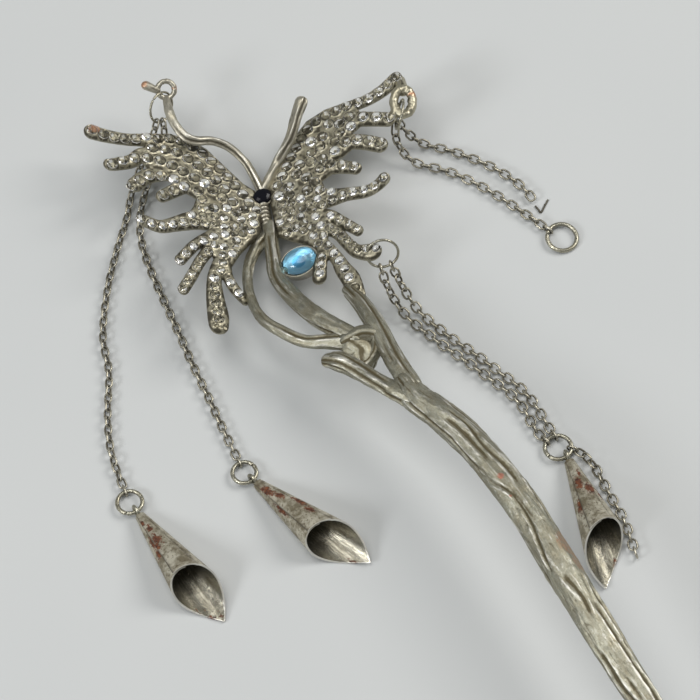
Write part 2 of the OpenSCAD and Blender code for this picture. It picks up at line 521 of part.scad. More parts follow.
module rolled_cone(q) color(rust_silver) translate(seat + [q[0], q[1], 0]) rotate([0, 0, q[2]]) {
  na = 26;
  nf = 3;
  row = nf + 1;
  layer = (na + 1) * row;
  points = [for (k = [0, 1]) for (i = [0:na]) for (j = [0:nf]) cone_point(wrap * i / na, j / nf, k, q[3])];
  outer = [for (i = [0:na - 1]) for (j = [0:nf - 1]) let (p = i * row + j)
    each [[p, p + row, p + row + 1], [p, p + row + 1, p + 1]]];
  inner = [for (f = outer) [layer + f[0], layer + f[2], layer + f[1]]];
  rims = [for (i = [0:na - 1]) let (p = i * row, q = i * row + nf)
    each [[p, p + layer, p + layer + row], [p, p + layer + row, p + row],
          [q, q + layer + row, q + layer], [q, q + row, q + layer + row]]];
  sides = [for (j = [0:nf - 1]) let (p = j, q = na * row + j)
    each [[p, p + layer + 1, p + layer], [p, p + 1, p + layer + 1],
          [q, q + layer, q + layer + 1], [q, q + layer + 1, q + 1]]];
  union() {
    polyhedron(points, concat(outer, inner, rims, sides), convexity = 8);
    hull() {
      translate([1.3, 0, 0.75]) sphere(0.6, $fn = 10);
      translate([1.9, 0, 0.85]) sphere(0.75, $fn = 10);
    }
    hull() {
      translate([1.9, 0, 0.85]) sphere(0.75, $fn = 10);
      translate([3.4, 0, 1.05]) sphere(0.62, $fn = 10);
    }
    bent_loop([0, 0, 1.32], [90, 0, 0], 0.98, 0.33, 10);
  }
}

// Cones. Columns: [x, y, heading, turn of the mouth about the cone].
cone_left_a_row = [-53.31, -38.98, -90.7, -18];
cone_left_b_row = [-32.87, -45.61, -78.5, -34];
cone_right_row = [15.81, -73.73, -106.1, 26];

module cone_left_a() rolled_cone(cone_left_a_row);
module cone_left_b() rolled_cone(cone_left_b_row);
module cone_right() rolled_cone(cone_right_row);

casting();
black_stone();
blue_stone();
antenna_ring();
upper_wing_ring();
lower_wing_ring();
left_ring_a();
left_ring_b();
free_ring();
right_ring();
left_chain_a();
left_chain_b();
upper_chain_a();
upper_chain_b();
rolling_chain_a();
rolling_chain_b();
rolling_tail();
cone_left_a();
cone_left_b();
cone_right();
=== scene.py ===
"""Butterfly hair stick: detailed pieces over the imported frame. Lengths in mm, scaled once to metres."""

import bpy
import numpy as np
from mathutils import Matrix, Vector


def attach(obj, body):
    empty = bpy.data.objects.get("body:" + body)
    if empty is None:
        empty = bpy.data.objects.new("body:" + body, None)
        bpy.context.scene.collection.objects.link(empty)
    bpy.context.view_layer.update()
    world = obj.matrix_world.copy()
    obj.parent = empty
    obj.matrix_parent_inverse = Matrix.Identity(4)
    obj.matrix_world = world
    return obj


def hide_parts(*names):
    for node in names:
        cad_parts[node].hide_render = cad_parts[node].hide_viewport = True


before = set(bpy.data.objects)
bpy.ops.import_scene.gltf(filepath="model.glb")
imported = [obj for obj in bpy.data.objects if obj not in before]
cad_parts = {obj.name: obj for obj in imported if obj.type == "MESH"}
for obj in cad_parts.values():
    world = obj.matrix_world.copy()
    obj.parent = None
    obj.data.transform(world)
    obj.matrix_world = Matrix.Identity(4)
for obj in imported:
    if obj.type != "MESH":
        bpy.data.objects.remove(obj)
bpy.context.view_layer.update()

MM = 0.001
SEAT = np.array([6.23, 70.978, 0.0])
TURN = np.radians(25.0)
WING_ROOT, WING_RISE, FORE_FALL, FEATHER_T = 3.0, 0.33, 0.1, 1.9
BLACK_AT = np.array([0.0, 0.0, 3.6])
BLUE_AT = np.array([-2.56, -16.09, 6.0])


def unit(v):
    return v / np.maximum(np.linalg.norm(v, axis=-1, keepdims=True), 1e-12)


def smooth(a, b, x):
    """0 below a, 1 above b, and a smooth step between."""
    t = np.clip((x - a) / (b - a), 0, 1)
    return t * t * (3 - 2 * t)


def noise(x, y, z, seed=0):
    """Value noise from 0 to 1: a hashed number at each corner of a unit cube, blended smoothly."""
    p = np.stack(np.broadcast_arrays(x, y, z), -1).astype(float)
    i = np.floor(p).astype(np.int64)
    f = p - i
    f = f * f * (3 - 2 * f)
    total = 0.0
    for corner in np.ndindex(2, 2, 2):
        h = ((i[..., 0] + corner[0]) * 73856093 ^ (i[..., 1] + corner[1]) * 19349663
             ^ (i[..., 2] + corner[2]) * 83492791)
        h = (h ^ (seed * 2654435761)) & 0xFFFFFFFF
        h = ((h ^ (h >> 13)) * 1274126177) & 0xFFFFFFFF
        value = ((h ^ (h >> 16)) & 0xFFFF) / 65535.0
        wx, wy, wz = (f[..., k] if far else 1 - f[..., k] for k, far in enumerate(corner))
        total = total + value * wx * wy * wz
    return total


def curve(rows, t):
    """Smooth curve through the rows at parameters t, one unit for each row."""
    p = np.asarray(rows, float)
    n = len(p) - 1
    i = np.clip(np.floor(t).astype(int), 0, n - 1)
    f = (np.asarray(t) - i)[:, None]
    a, b, c, d = p[np.maximum(i - 1, 0)], p[i], p[i + 1], p[np.minimum(i + 2, n)]
    return b + 0.5 * f * ((c - a) + f * ((2 * a - 5 * b + 4 * c - d) + f * (3 * (b - c) + d - a)))


def run_length(p):
    return np.concatenate([[0], np.cumsum(np.linalg.norm(np.diff(p[:, :3], axis=0), axis=1))])


def even(rows, step):
    """Rows at nearly equal distances along the smooth curve."""
    dense = curve(rows, np.linspace(0, len(rows) - 1, (len(rows) - 1) * 24 + 1))
    s = run_length(dense)
    n = max(3, int(round(s[-1] / step)))
    at = np.linspace(0, s[-1], n + 1)
    return np.stack([np.interp(at, s, dense[:, k]) for k in range(dense.shape[1])], 1), at


def make(name, verts, faces, material, smooth_faces=True, attributes=None):
    """A mesh piece in metres from vertices in mm and an array of faces. It rides on the only body."""
    mesh = bpy.data.meshes.new(name)
    faces = [np.asarray(f) for f in (faces if isinstance(faces, list) else [faces])]
    loops = np.concatenate([f.ravel() for f in faces]).astype(np.int32)
    sizes = np.concatenate([np.full(len(f), f.shape[1]) for f in faces]).astype(np.int32)
    mesh.vertices.add(len(verts))
    mesh.vertices.foreach_set("co", (np.asarray(verts) * MM).astype(np.float32).ravel())
    mesh.loops.add(len(loops))
    mesh.loops.foreach_set("vertex_index", loops)
    mesh.polygons.add(len(sizes))
    starts = np.concatenate([[0], np.cumsum(sizes)[:-1]]).astype(np.int32)
    mesh.polygons.foreach_set("loop_start", starts)
    mesh.polygons.foreach_set("use_smooth", np.full(len(sizes), smooth_faces))
    for key, values in (attributes or {}).items():
        values = np.asarray(values, np.float32)
        kind, field = ("FLOAT", "value") if values.ndim == 1 else ("FLOAT_VECTOR", "vector")
        mesh.attributes.new(key, kind, "POINT").data.foreach_set(field, values.ravel())
    mesh.update(calc_edges=True)
    mesh.validate()
    obj = bpy.data.objects.new(name, mesh)
    bpy.context.scene.collection.objects.link(obj)
    mesh.materials.append(material)
    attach(obj, "root")
    return obj


def grid_faces(n, m, wrap_v, wrap_u=False):
    """Quads of an n by m grid of vertices, m round the section; wrap_v closes the section."""
    i, j = np.meshgrid(np.arange(n if wrap_u else n - 1), np.arange(m if wrap_v else m - 1), indexing="ij")
    a, b = i * m + j, i * m + (j + 1) % m
    c, d = ((i + 1) % n) * m + (j + 1) % m, ((i + 1) % n) * m + j
    return np.stack([a, d, c, b], -1).reshape(-1, 4)


def end_fans(n, m):
    """Fans that close both ends of an n by m grid of vertices, round two hubs that follow the grid."""
    j = np.arange(m)
    return [np.stack([np.full(m, n * m), j, (j + 1) % m], 1),
            np.stack([np.full(m, n * m + 1), (n - 1) * m + (j + 1) % m, (n - 1) * m + j], 1)]


def circle(n, radius=1.0, z=0.0, shift=0.0):
    """Points at equal angles round the Z axis; shift turns them by a share of a step."""
    a = (np.arange(n) + shift) * 2 * np.pi / n
    return np.stack([radius * np.cos(a), radius * np.sin(a), np.full(n, z)], 1)


def tube(path, width, depth, section):
    """Section of half size 1 carried along a path: columns of points, poles closed by fans."""
    t = unit(np.gradient(path, axis=0))
    s = unit(np.stack([t[:, 1], -t[:, 0], np.zeros(len(t))], 1))
    u = unit(np.cross(s, t))
    n, m = section.shape[:2]
    pts = (path[:, None] + s[:, None] * (section[..., 0] * width[:, None] / 2)[..., None]
           + u[:, None] * (section[..., 1] * depth[:, None] / 2)[..., None])
    return np.concatenate([pts.reshape(-1, 3), path[:1], path[-1:]]), [grid_faces(n, m, True), *end_fans(n, m)]


def rounded(rows, step):
    """Even rows, longer by half a width at each end, with the width falling to a round end."""
    q, _ = even(np.asarray(rows, float), step)
    parts, falls = [q], [np.ones(len(q))]
    for end, before, away in ((0, 1, slice(None, None, -1)), (-1, -2, slice(None))):
        r = q[end, 3] / 2
        k = np.linspace(0, r, max(4, int(r / step * 1.6)) + 1)[1:][away]
        cap = np.concatenate([q[end, :3] + unit(q[end, :3] - q[before, :3]) * k[:, None],
                              np.repeat(q[end:][:1, 3:], len(k), 0)], 1)
        fall = np.sqrt(np.clip(1 - (k / r) ** 2, 0.0004, 1))
        parts = [cap, *parts] if end == 0 else [*parts, cap]
        falls = [fall, *falls] if end == 0 else [*falls, fall]
    full = np.concatenate(parts)
    return full, np.concatenate(falls), run_length(full)


# Materials


# Grain of the noises on a surface, per metre of Object coordinates.
PATCHES, TARNISHED, PITS, GRIT = 160.0, 330.0, 1300.0, 2700.0
TARNISH, FURROW_BROWN, GRIT_BROWN = (0.34, 0.29, 0.18), (0.2, 0.165, 0.1), (0.2, 0.18, 0.12)
WORN, RIDGE = (0.78, 0.76, 0.7), (0.8, 0.78, 0.71)


def nodes_of(name, **constants):
    """A material, its node tree and its shader. Constants go straight onto the shader's sockets."""
    mat = bpy.data.materials.new(name)
    mat.use_nodes = True
    bsdf = mat.node_tree.nodes["Principled BSDF"]
    for key, value in constants.items():
        bsdf.inputs[key.replace("_", " ")].default_value = value
    return mat, mat.node_tree, bsdf


def connect(tree, value, socket):
    """Links a socket, or sets a number or a color."""
    if isinstance(value, tuple):
        socket.default_value = (*value, 1.0)
    elif isinstance(value, (int, float)):
        socket.default_value = value
    else:
        tree.links.new(value, socket)


def ramp(tree, source, *stops):
    """Color ramp. Each stop is a place and a color, or a place and a grey value."""
    node = tree.nodes.new("ShaderNodeValToRGB")
    tree.links.new(source, node.inputs["Fac"])
    band = node.color_ramp
    while len(band.elements) < len(stops):
        band.elements.new(0.5)
    for element, (at, color) in zip(band.elements, stops):
        element.position = at
        element.color = (*(color if isinstance(color, tuple) else (color,) * 3), 1.0)
    return node.outputs["Color"]


def mix(tree, factor, a, b):
    """Color mix of a and b; each is a socket or a color."""
    node = tree.nodes.new("ShaderNodeMix")
    node.data_type = "RGBA"
    factor_socket, a_socket, b_socket = node.inputs[0], node.inputs[6], node.inputs[7]
    for value, socket in ((factor, factor_socket), (a, a_socket), (b, b_socket)):
        connect(tree, value, socket)
    return node.outputs[2]


def math_node(tree, operation, a, b=0.0, c=0.0, clamp=False):
    node = tree.nodes.new("ShaderNodeMath")
    node.operation = operation
    node.use_clamp = clamp
    for value, socket in zip((a, b, c), node.inputs):
        connect(tree, value, socket)
    return node.outputs[0]


def attribute(tree, name, output="Fac"):
    node = tree.nodes.new("ShaderNodeAttribute")
    node.attribute_name = name
    return node.outputs[output]


def noise_on(tree, vector, scale, detail, roughness):
    node = tree.nodes.new("ShaderNodeTexNoise")
    for key, value in (("Scale", scale), ("Detail", detail), ("Roughness", roughness), ("Vector", vector)):
        connect(tree, value, node.inputs[key])
    return node.outputs["Fac"]


def object_noise(tree, scale, detail=4.0, roughness=0.6):
    return noise_on(tree, tree.nodes.new("ShaderNodeTexCoord").outputs["Object"], scale, detail, roughness)


def strand_noise(tree, scale, roughness):
    """Noise drawn out along a piece by its strand attribute."""
    return noise_on(tree, attribute(tree, "strand", "Vector"), scale, 5.0, roughness)


def bump(tree, shader, height, strength, distance):
    node = tree.nodes.new("ShaderNodeBump")
    node.inputs["Strength"].default_value = strength
    node.inputs["Distance"].default_value = distance
    tree.links.new(height, node.inputs["Height"])
    tree.links.new(node.outputs["Normal"], shader.inputs["Normal"])


def near(tree, centre_mm, radius_mm):
    """1 close to a place on the object, 0 past its radius."""
    coords = tree.nodes.new("ShaderNodeTexCoord")
    node = tree.nodes.new("ShaderNodeVectorMath")
    node.operation = "DISTANCE"
    tree.links.new(coords.outputs["Object"], node.inputs[0])
    node.inputs[1].default_value = tuple((np.array(centre_mm) + SEAT) * MM)
    step = tree.nodes.new("ShaderNodeMapRange")
    step.inputs["From Min"].default_value = radius_mm * MM
    step.inputs["From Max"].default_value = radius_mm * MM / 2
    tree.links.new(node.outputs["Value"], step.inputs["Value"])
    return step.outputs["Result"]


def antique_silver(name, light, dark, rough, patina_and_shade, copper, yellow, fibre=0.0):
    """Worn silver plate: bright ridges, dark recesses from the cavity attribute, tarnish from noise, and
    streaks along a branch from noise over its strand attribute. The cavity attribute holds the metal's own
    darkening in its hollows, and painted shade where a piece writes it: the edges of stone seats, the inner
    sides of rings and links, the insides of cups."""
    mat, tree, bsdf = nodes_of(name)
    cavity = attribute(tree, "cavity")
    fine = object_noise(tree, PITS, 5.0, 0.65)
    base = mix(tree, ramp(tree, object_noise(tree, PATCHES, 3.0), (0.35, 0), (0.7, 1)), light,
               tuple(0.72 * c for c in light))
    tarnish = ramp(tree, object_noise(tree, TARNISHED, 5.0, 0.7), (0.46, 0), (0.66, 1))
    base = mix(tree, math_node(tree, "MULTIPLY", tarnish, yellow), base, TARNISH)
    height = fine
    if fibre:
        threads = strand_noise(tree, 1.5, 0.68)
        base = mix(tree, ramp(tree, threads, (0.34, fibre), (0.47, 0)), base, FURROW_BROWN)
        base = mix(tree, ramp(tree, threads, (0.58, 0), (0.7, 0.6)), base, WORN)
        grit = ramp(tree, object_noise(tree, GRIT, 4.0, 0.75), (0.36, 0.6), (0.5, 0))
        base = mix(tree, grit, base, GRIT_BROWN)
        height = math_node(tree, "MULTIPLY_ADD", threads, 1.5, fine)
    ridge = ramp(tree, math_node(tree, "MULTIPLY", cavity, -1.0), (0.12, 0), (0.5, 0.75))
    base = mix(tree, ridge, base, RIDGE)
    # Dark mix from the cavity attribute: the metal's own darkening in hollows, and painted shade where a piece
    # puts it.
    deep = math_node(tree, "ADD", cavity, math_node(tree, "MULTIPLY_ADD", fine, 0.7, -0.35), clamp=True)
    base = mix(tree, ramp(tree, deep, (0.2, 0), (0.66, patina_and_shade)), base, dark)
    for centre, radius, color, amount in copper:
        spot = math_node(tree, "MULTIPLY", near(tree, centre, radius), fine)
        base = mix(tree, ramp(tree, spot, (0.3, 0), (0.5, amount)), base, color)
    tree.links.new(base, bsdf.inputs["Base Color"])
    tree.links.new(math_node(tree, "MULTIPLY_ADD", deep, -0.5, 0.86), bsdf.inputs["Metallic"])
    rough_base = math_node(tree, "MULTIPLY_ADD", fine, 0.4, rough - 0.2)
    tree.links.new(math_node(tree, "MULTIPLY_ADD", deep, 0.25, rough_base), bsdf.inputs["Roughness"])
    bump(tree, bsdf, height, 0.5, 0.00016)
    return mat


COPPER, RUST_RED = (0.55, 0.25, 0.13), (0.42, 0.12, 0.08)
# Spots. Columns: place, radius, color, amount.
silver_wing = antique_silver("silver_wing", (0.5, 0.465, 0.345), (0.04, 0.034, 0.02), 0.34, 0.92, [
    ((-19.5, 25.6, 12.5), 1.7, COPPER, 0.6), ((32.6, -1.6, 11.9), 1.5, COPPER, 0.8),
    ((-18.4, 26.5, 12.0), 1.6, COPPER, 0.6)], 0.35)
silver_bark = antique_silver("silver_bark", (0.37, 0.36, 0.285), (0.09, 0.07, 0.03), 0.42, 0.92, [
    ((-1.6, -76.5, 19.6), 1.1, RUST_RED, 0.7), ((-2.4, -80.5, 19.5), 0.6, RUST_RED, 0.6),
    ((0.6, -93.0, 18.2), 4.0, COPPER, 0.35), ((0.2, -97.0, 18.0), 3.0, COPPER, 0.3)], 0.38, 0.45)
silver_part = antique_silver("silver_part", (0.52, 0.49, 0.4), (0.055, 0.046, 0.028), 0.36, 0.9, [
    ((-6.6, 28.9, 10.9), 1.5, COPPER, 0.7), ((-2.2, 25.4, 10.2), 1.2, COPPER, 0.5)], 0.35)
ring_metal = antique_silver("ring_metal", (0.46, 0.44, 0.35), (0.06, 0.05, 0.035), 0.25, 0.85, (), 0.4)
link_metal = antique_silver("link_metal", (0.5, 0.47, 0.38), (0.045, 0.038, 0.025), 0.24, 0.9, (), 0.35)


def glass(name, color, ior, roughness):
    return nodes_of(name, Base_Color=(*color, 1), Transmission_Weight=1.0, IOR=ior, Roughness=roughness)[0]


def foil():
    """Silvered back of a clear stone: facets of different brightness, clouded and yellowed here and there."""
    mat, tree, bsdf = nodes_of("foil", Roughness=0.3)
    glint = ramp(tree, attribute(tree, "glint"), (0.2, (0.22, 0.21, 0.18)), (0.36, (0.66, 0.65, 0.61)),
                 (0.52, (0.96, 0.96, 0.94)), (1.0, 1.0))
    clouded = ramp(tree, object_noise(tree, 420.0, 2.0), (0.55, 0), (0.75, 0.5))
    tree.links.new(mix(tree, clouded, glint, (0.55, 0.49, 0.33)), bsdf.inputs["Base Color"])
    return mat


glass_mat, foil_mat = glass("clear_glass", (0.97, 0.97, 0.96), 1.36, 0.02), foil()


# Wings: a height field over the plate and its feathers, with a seat for each small stone.

LEFT_PLATE = [
    (0.4, 0.6), (-2.9, 3.4), (-5.8, 7.4), (-8.5, 11.2), (-11.4, 13.5), (-14.9, 14.6), (-19.5, 14.6),
    (-19.6, 12), (-20.6, 11.2), (-21.4, 8.8), (-20.2, 6.6), (-18.6, 4.3), (-15.6, 3.9), (-14.2, 1.6),
    (-12.2, 0), (-13, -1.9), (-14, -3.4), (-14.4, -6.7), (-10.6, -6.9), (-12, -8.6), (-12, -10.6),
    (-11.2, -12.9), (-10.4, -15.2), (-7.9, -15.2), (-6, -12.4), (-3.9, -10.2), (-1.6, -8.2)]
RIGHT_PLATE = [
    (1.2, 1.6), (3.7, 5.6), (6.9, 10.4), (10.5, 13.8), (14.3, 15.1), (19.6, 15.3), (20, 13.2),
    (20.4, 12.4), (20.4, 9.4), (18.4, 8.2), (18, 5), (15.8, 3.8), (13.4, 3.4), (13.6, 1),
    (11.2, 0), (11.6, -2), (12.6, -3), (12.4, -5.4), (10.6, -6.4), (11.4, -7.4), (12.2, -9.2),
    (11, -10), (10.2, -13), (10.2, -15.4), (8, -14), (6.3, -12.5), (4.1, -11), (1.4, -8.8)]
# Feathers, root to tip. Columns: x, y, width and, where a tip curls up or down, lift.
LEFT_FEATHERS = [
    [(-15, 12.6, 3.4), (-18.8, 13.2, 2.7), (-23, 13.3, 2.4), (-26.9, 13.9, 2.7, 0.3), (-29.2, 14.6, 3, 0.5)],
    [(-18, 9.8, 3.6), (-20.7, 9.8, 2.9), (-23.1, 8.2, 2.6), (-26.3, 7.4, 2.4, 0.2), (-27, 7.4, 2.2, 0.2)],
    [(-15.6, 6.4, 3.6), (-18.4, 5.5, 3), (-20.7, 4.8, 2.9), (-22.9, 3, 2.9)],
    [(-11, 3.6, 3.4), (-14.2, 2.6, 2.7), (-16.4, 1.5, 2.6), (-18.4, 0.4, 2.3)],
    [(-10.6, -4.6, 4), (-14, -5, 3.7), (-16.9, -5.8, 2.9), (-19.7, -6.5, 2.5, 0.3), (-22.2, -5.6, 2.3, 0.8)],
    [(-8.6, -7.4, 2.6), (-11.3, -8.8, 2.4), (-14.1, -10.6, 2.1), (-17, -13.7, 2.1)],
    [(-9, -9.4, 2.6), (-11.5, -11.5, 2.3), (-13.5, -14, 2.1), (-15.2, -16.8, 2.1), (-17.4, -20.2, 2.1)],
    [(-7.6, -9.8, 3), (-9, -12.8, 2.9), (-11.3, -17.2, 2.6), (-11.9, -21.4, 3.2), (-12, -25.8, 3.9),
     (-12.2, -28, 3.6)],
    [(-7.8, -11.8, 2.6), (-8.9, -14.1, 2.3), (-9, -17.4, 2.1, -0.2), (-8, -20.1, 2.1, -0.6),
     (-6.6, -22, 1.9, -1.2)]]
RIGHT_FEATHERS = [
    [(15, 13.6, 3), (19.3, 14.1, 2.3), (22.3, 14.4, 2.3), (25.3, 15.3, 2.6, 0.2), (27.8, 16.7, 2.8, 0.5)],
    [(16, 11, 3.4), (19.3, 10.9, 3), (21.6, 10.2, 2.8), (25.2, 8.7, 2.7)],
    [(14.6, 6.8, 3.4), (17.6, 6.5, 3), (20.2, 5.4, 2.9), (22.8, 3.7, 2.8)],
    [(10.4, 3.2, 3), (12.8, 2.5, 2.9), (15.4, 1.6, 2.5), (17.7, 0.3, 2.1)],
    [(9, -3.8, 4), (12, -4.2, 3.6), (15.1, -4.5, 2.6), (18.5, -5.3, 2.3, 0.2), (20.6, -5, 2.3, 0.6),
     (22, -4.3, 2.4, 1.2)],
    [(8.6, -6.4, 2.6), (11.4, -8, 2.3), (13.1, -9.8, 2.1), (15.8, -13, 1.9)],
    [(8.4, -8.4, 2.8), (10.3, -10.3, 2.5), (12.1, -12.1, 2.2), (13.4, -14.8, 2.2), (14.8, -17.1, 2.5),
     (17, -18.2, 3.3), (17.6, -18.3, 3.2)],
    [(7.6, -11.4, 2.6), (9.2, -13.4, 2.3), (11, -17.2, 2.4), (11.8, -20, 3), (12.8, -22.7, 3.4),
     (13.3, -26.2, 3.1, -0.4)],
    [(6.8, -11, 2.4), (8.5, -13.6, 2.2), (8.6, -15.9, 2.3), (7.9, -17.8, 2.6), (7.4, -20.2, 2.7)]]
# Rows of stones. Columns: points the row runs through, number of stones, stone diameter.
LEFT_ROWS = [
    ([(-29, 14.5), (-25.4, 13), (-21.4, 12.9)], 5, 2.05),
    ([(-17.3, 13), (-13.1, 12.6), (-8.5, 8.6), (-3.5, 0.6)], 10, 2.05),
    ([(-20.7, 11.2), (-14.4, 9.9), (-9.7, 5.8), (-6.8, 1.8)], 9, 2.05),
    ([(-26.4, 6.9), (-22.1, 8.6), (-17.1, 7.8), (-11.9, 4.2)], 8, 2.05),
    ([(-23.7, 2.1), (-19.7, 4.7), (-15.7, 3.8)], 5, 2.05),
    ([(-18, 0.2), (-14, 2.2)], 3, 2),
    ([(-23, -5.7), (-19.5, -6.9), (-15.6, -5.9), (-11.2, -6)], 7, 1.75),
    ([(-17.2, -14.6), (-14.2, -11.2), (-10.2, -8.9)], 5, 1.6),
    ([(-17.5, -20.7), (-14.3, -15.6), (-10.3, -10.9)], 7, 1.6),
    ([(-12, -27.2), (-12, -23.3), (-11.5, -18.2)], 6, 1.8),
    ([(-10.1, -16.4), (-9.3, -14.2), (-8.7, -11.3)], 4, 1.55),
    ([(-8.7, -19), (-7.5, -21)], 2, 1.7)]
RIGHT_ROWS = [
    ([(28, 16.6), (22.9, 14.3), (17.1, 13.8), (11.6, 12.4), (7.2, 7.6), (3.2, 1.4)], 16, 1.95),
    ([(25.3, 8.7), (21.7, 10.1), (18.2, 11.4)], 4, 2.05),
    ([(22.7, 3.8), (19.1, 5.9), (16.6, 6.2)], 4, 2.05),
    ([(17.2, 0.6), (13.2, 2.6)], 3, 1.9),
    ([(21.8, -4.5), (19.6, -5.3), (14.5, -4.8), (8.3, -6)], 8, 1.75),
    ([(15.6, -12.9), (13.2, -10.1), (11.4, -8.4)], 4, 1.5),
    ([(15, -17.2), (13.4, -14.6), (10.7, -10.9)], 6, 1.55),
    ([(9.9, -14.6), (11.4, -18.8), (12.4, -22.5)], 5, 1.7),
    ([(8.3, -13.4), (8.5, -16.4), (7.5, -19.8)], 5, 1.6)]
SMALL_STONE, LARGE_STONE, STONE_GAP, STONE_FIT, STONE_OVER = 1.55, 1.95, 0.06, 0.97, 0.07
# Pitch of the places tried, and the room kept free round the body, for the rows and for the rest.
PLACES, ROW_CLEAR, BODY_CLEAR = 0.16, 2.6, 2.9
WING_PITCH, EDGE_STEP, SEAT_DEEP, BEAD_LOW, BEAD_HIGH = 0.15, 0.02, 0.42, 0.1, 0.13
# Seats without a stone. Columns: x, y, diameter.
EMPTY_SEATS = [(13.1, -25.0, 1.7), (-22.9, 11.2, 1.6), (-12.6, -28.6, 0.9), (-11.2, -28.9, 0.9)]


def curl(feathers):
    """Rows with the lift filled in."""
    return [[(*row, 0.0)[:4] for row in rows] for rows in feathers]


def wing_height(x, y):
    """Middle plane of a wing: it rises from the body to the tip and falls to the front."""
    return WING_ROOT + WING_RISE * np.abs(x) - FORE_FALL * y


def to_straights(x, y, a, b):
    """Distance of each place from each straight a to b, and the share of the straight where it is nearest."""
    px, py = x[..., None] - a[:, 0], y[..., None] - a[:, 1]
    ex, ey = (b - a)[:, :2].T
    t = np.clip((px * ex + py * ey) / (ex ** 2 + ey ** 2), 0, 1)
    return np.hypot(px - t * ex, py - t * ey), t


def plate_distance(x, y, outline):
    """Signed distance to a polygon, negative inside: nearest edge, and a crossing count for the sign."""
    a = np.array(outline, float)
    b = np.roll(a, -1, 0)
    ex, ey = (b - a).T
    px, py = x[..., None], y[..., None]
    cross = ((a[:, 1] > py) != (b[:, 1] > py)) & (
        px < a[:, 0] + (py - a[:, 1]) / np.where(ey == 0, 1e-9, ey) * ex)
    d = to_straights(x, y, a, b)[0].min(-1)
    return np.where(cross.sum(-1) % 2 == 1, -d, d)


def feather_distance(x, y, rows):
    """Signed distance to a feather: distance to its curve less half its width there. Also the lift."""
    c = curve(rows, np.linspace(0, len(rows) - 1, (len(rows) - 1) * 4 + 1))
    a, b = c[:-1], c[1:]
    d, t = to_straights(x, y, a, b)
    width, lift = (a[:, k] + t * (b[:, k] - a[:, k]) for k in (2, 3))
    d = d - width / 2
    k = d.argmin(-1)[..., None]
    return np.take_along_axis(d, k, -1)[..., 0], np.take_along_axis(lift, k, -1)[..., 0]


def wing_field(x, y, plate, feathers):
    """Distance to the whole wing's edge, negative inside, with grooves kept between feathers."""
    d = plate_distance(x, y, plate)
    for rows in feathers:
        d = np.minimum(d, feather_distance(x, y, rows)[0])
    return d


def lift_at(x, y, feathers):
    """Lift of the feathers at a place, fading out past their edges."""
    lift = np.zeros_like(x)
    for rows in feathers:
        d, rise = feather_distance(x, y, rows)
        lift += rise * smooth(1.2, -0.6, d)
    return lift


def lay_stones(rows, plate, feathers, side, rng):
    """Stones along each row; then, of all free places on a fine grid, the one closest to the stones
    already laid is taken next, until the plate and its feathers are full. Columns: x, y, diameter."""
    laid = []
    for points, count, size in rows:
        q, s = even(np.c_[np.array(points, float), np.zeros(len(points))], 0.05)
        at = np.linspace(0, s[-1], count)
        for x, y in zip(np.interp(at, s, q[:, 0]), np.interp(at, s, q[:, 1])):
            apart = all(np.hypot(x - p[0], y - p[1]) > (size + p[2]) * 0.47 for p in laid)
            if apart and np.hypot(x, y) > ROW_CLEAR:
                laid.append((x, y, size))
    places = np.meshgrid(np.arange(1.5, 30, PLACES) * side, np.arange(-28, 18, PLACES))
    cx, cy = (v.ravel() for v in places)
    size = SMALL_STONE + (LARGE_STONE - SMALL_STONE) * smooth(-4.2, -1.2, cy)
    edge = wing_field(cx, cy, plate, feathers)
    keep = (edge < -0.5 * size - 0.02) & (np.hypot(cx, cy) > BODY_CLEAR)
    cx, cy, size = cx[keep], cy[keep], size[keep] * (1 + 0.03 * rng.normal(size=keep.sum()))
    clear = np.full(len(cx), 99.0)
    for x, y, d in laid + EMPTY_SEATS:
        clear = np.minimum(clear, np.hypot(cx - x, cy - y) - (size + d) / 2)
    while True:
        k = np.where(clear >= STONE_GAP, clear, 99).argmin()
        if clear[k] < STONE_GAP or clear[k] > 90:
            break
        laid.append((cx[k], cy[k], size[k]))
        clear = np.minimum(clear, np.hypot(cx - cx[k], cy - cy[k]) - (size + size[k]) / 2)
    p = np.array(laid)
    p[:, :2] += rng.normal(0, 0.03, (len(p), 2))
    return p


def to_row(x, y, z, seat=SEAT):
    """Butterfly's own plane to the part's frame."""
    c, s = np.cos(TURN), np.sin(TURN)
    return np.stack([x * c + y * s, -x * s + y * c, z], -1) + seat


def round_edge(depth, radius):
    """Half thickness of the wing at a depth inside its outline: a quarter circle, then flat."""
    return np.sqrt(np.clip(1 - (1 - np.clip(depth / radius, 0, 1)) ** 2, 0, 1)) * FEATHER_T / 2


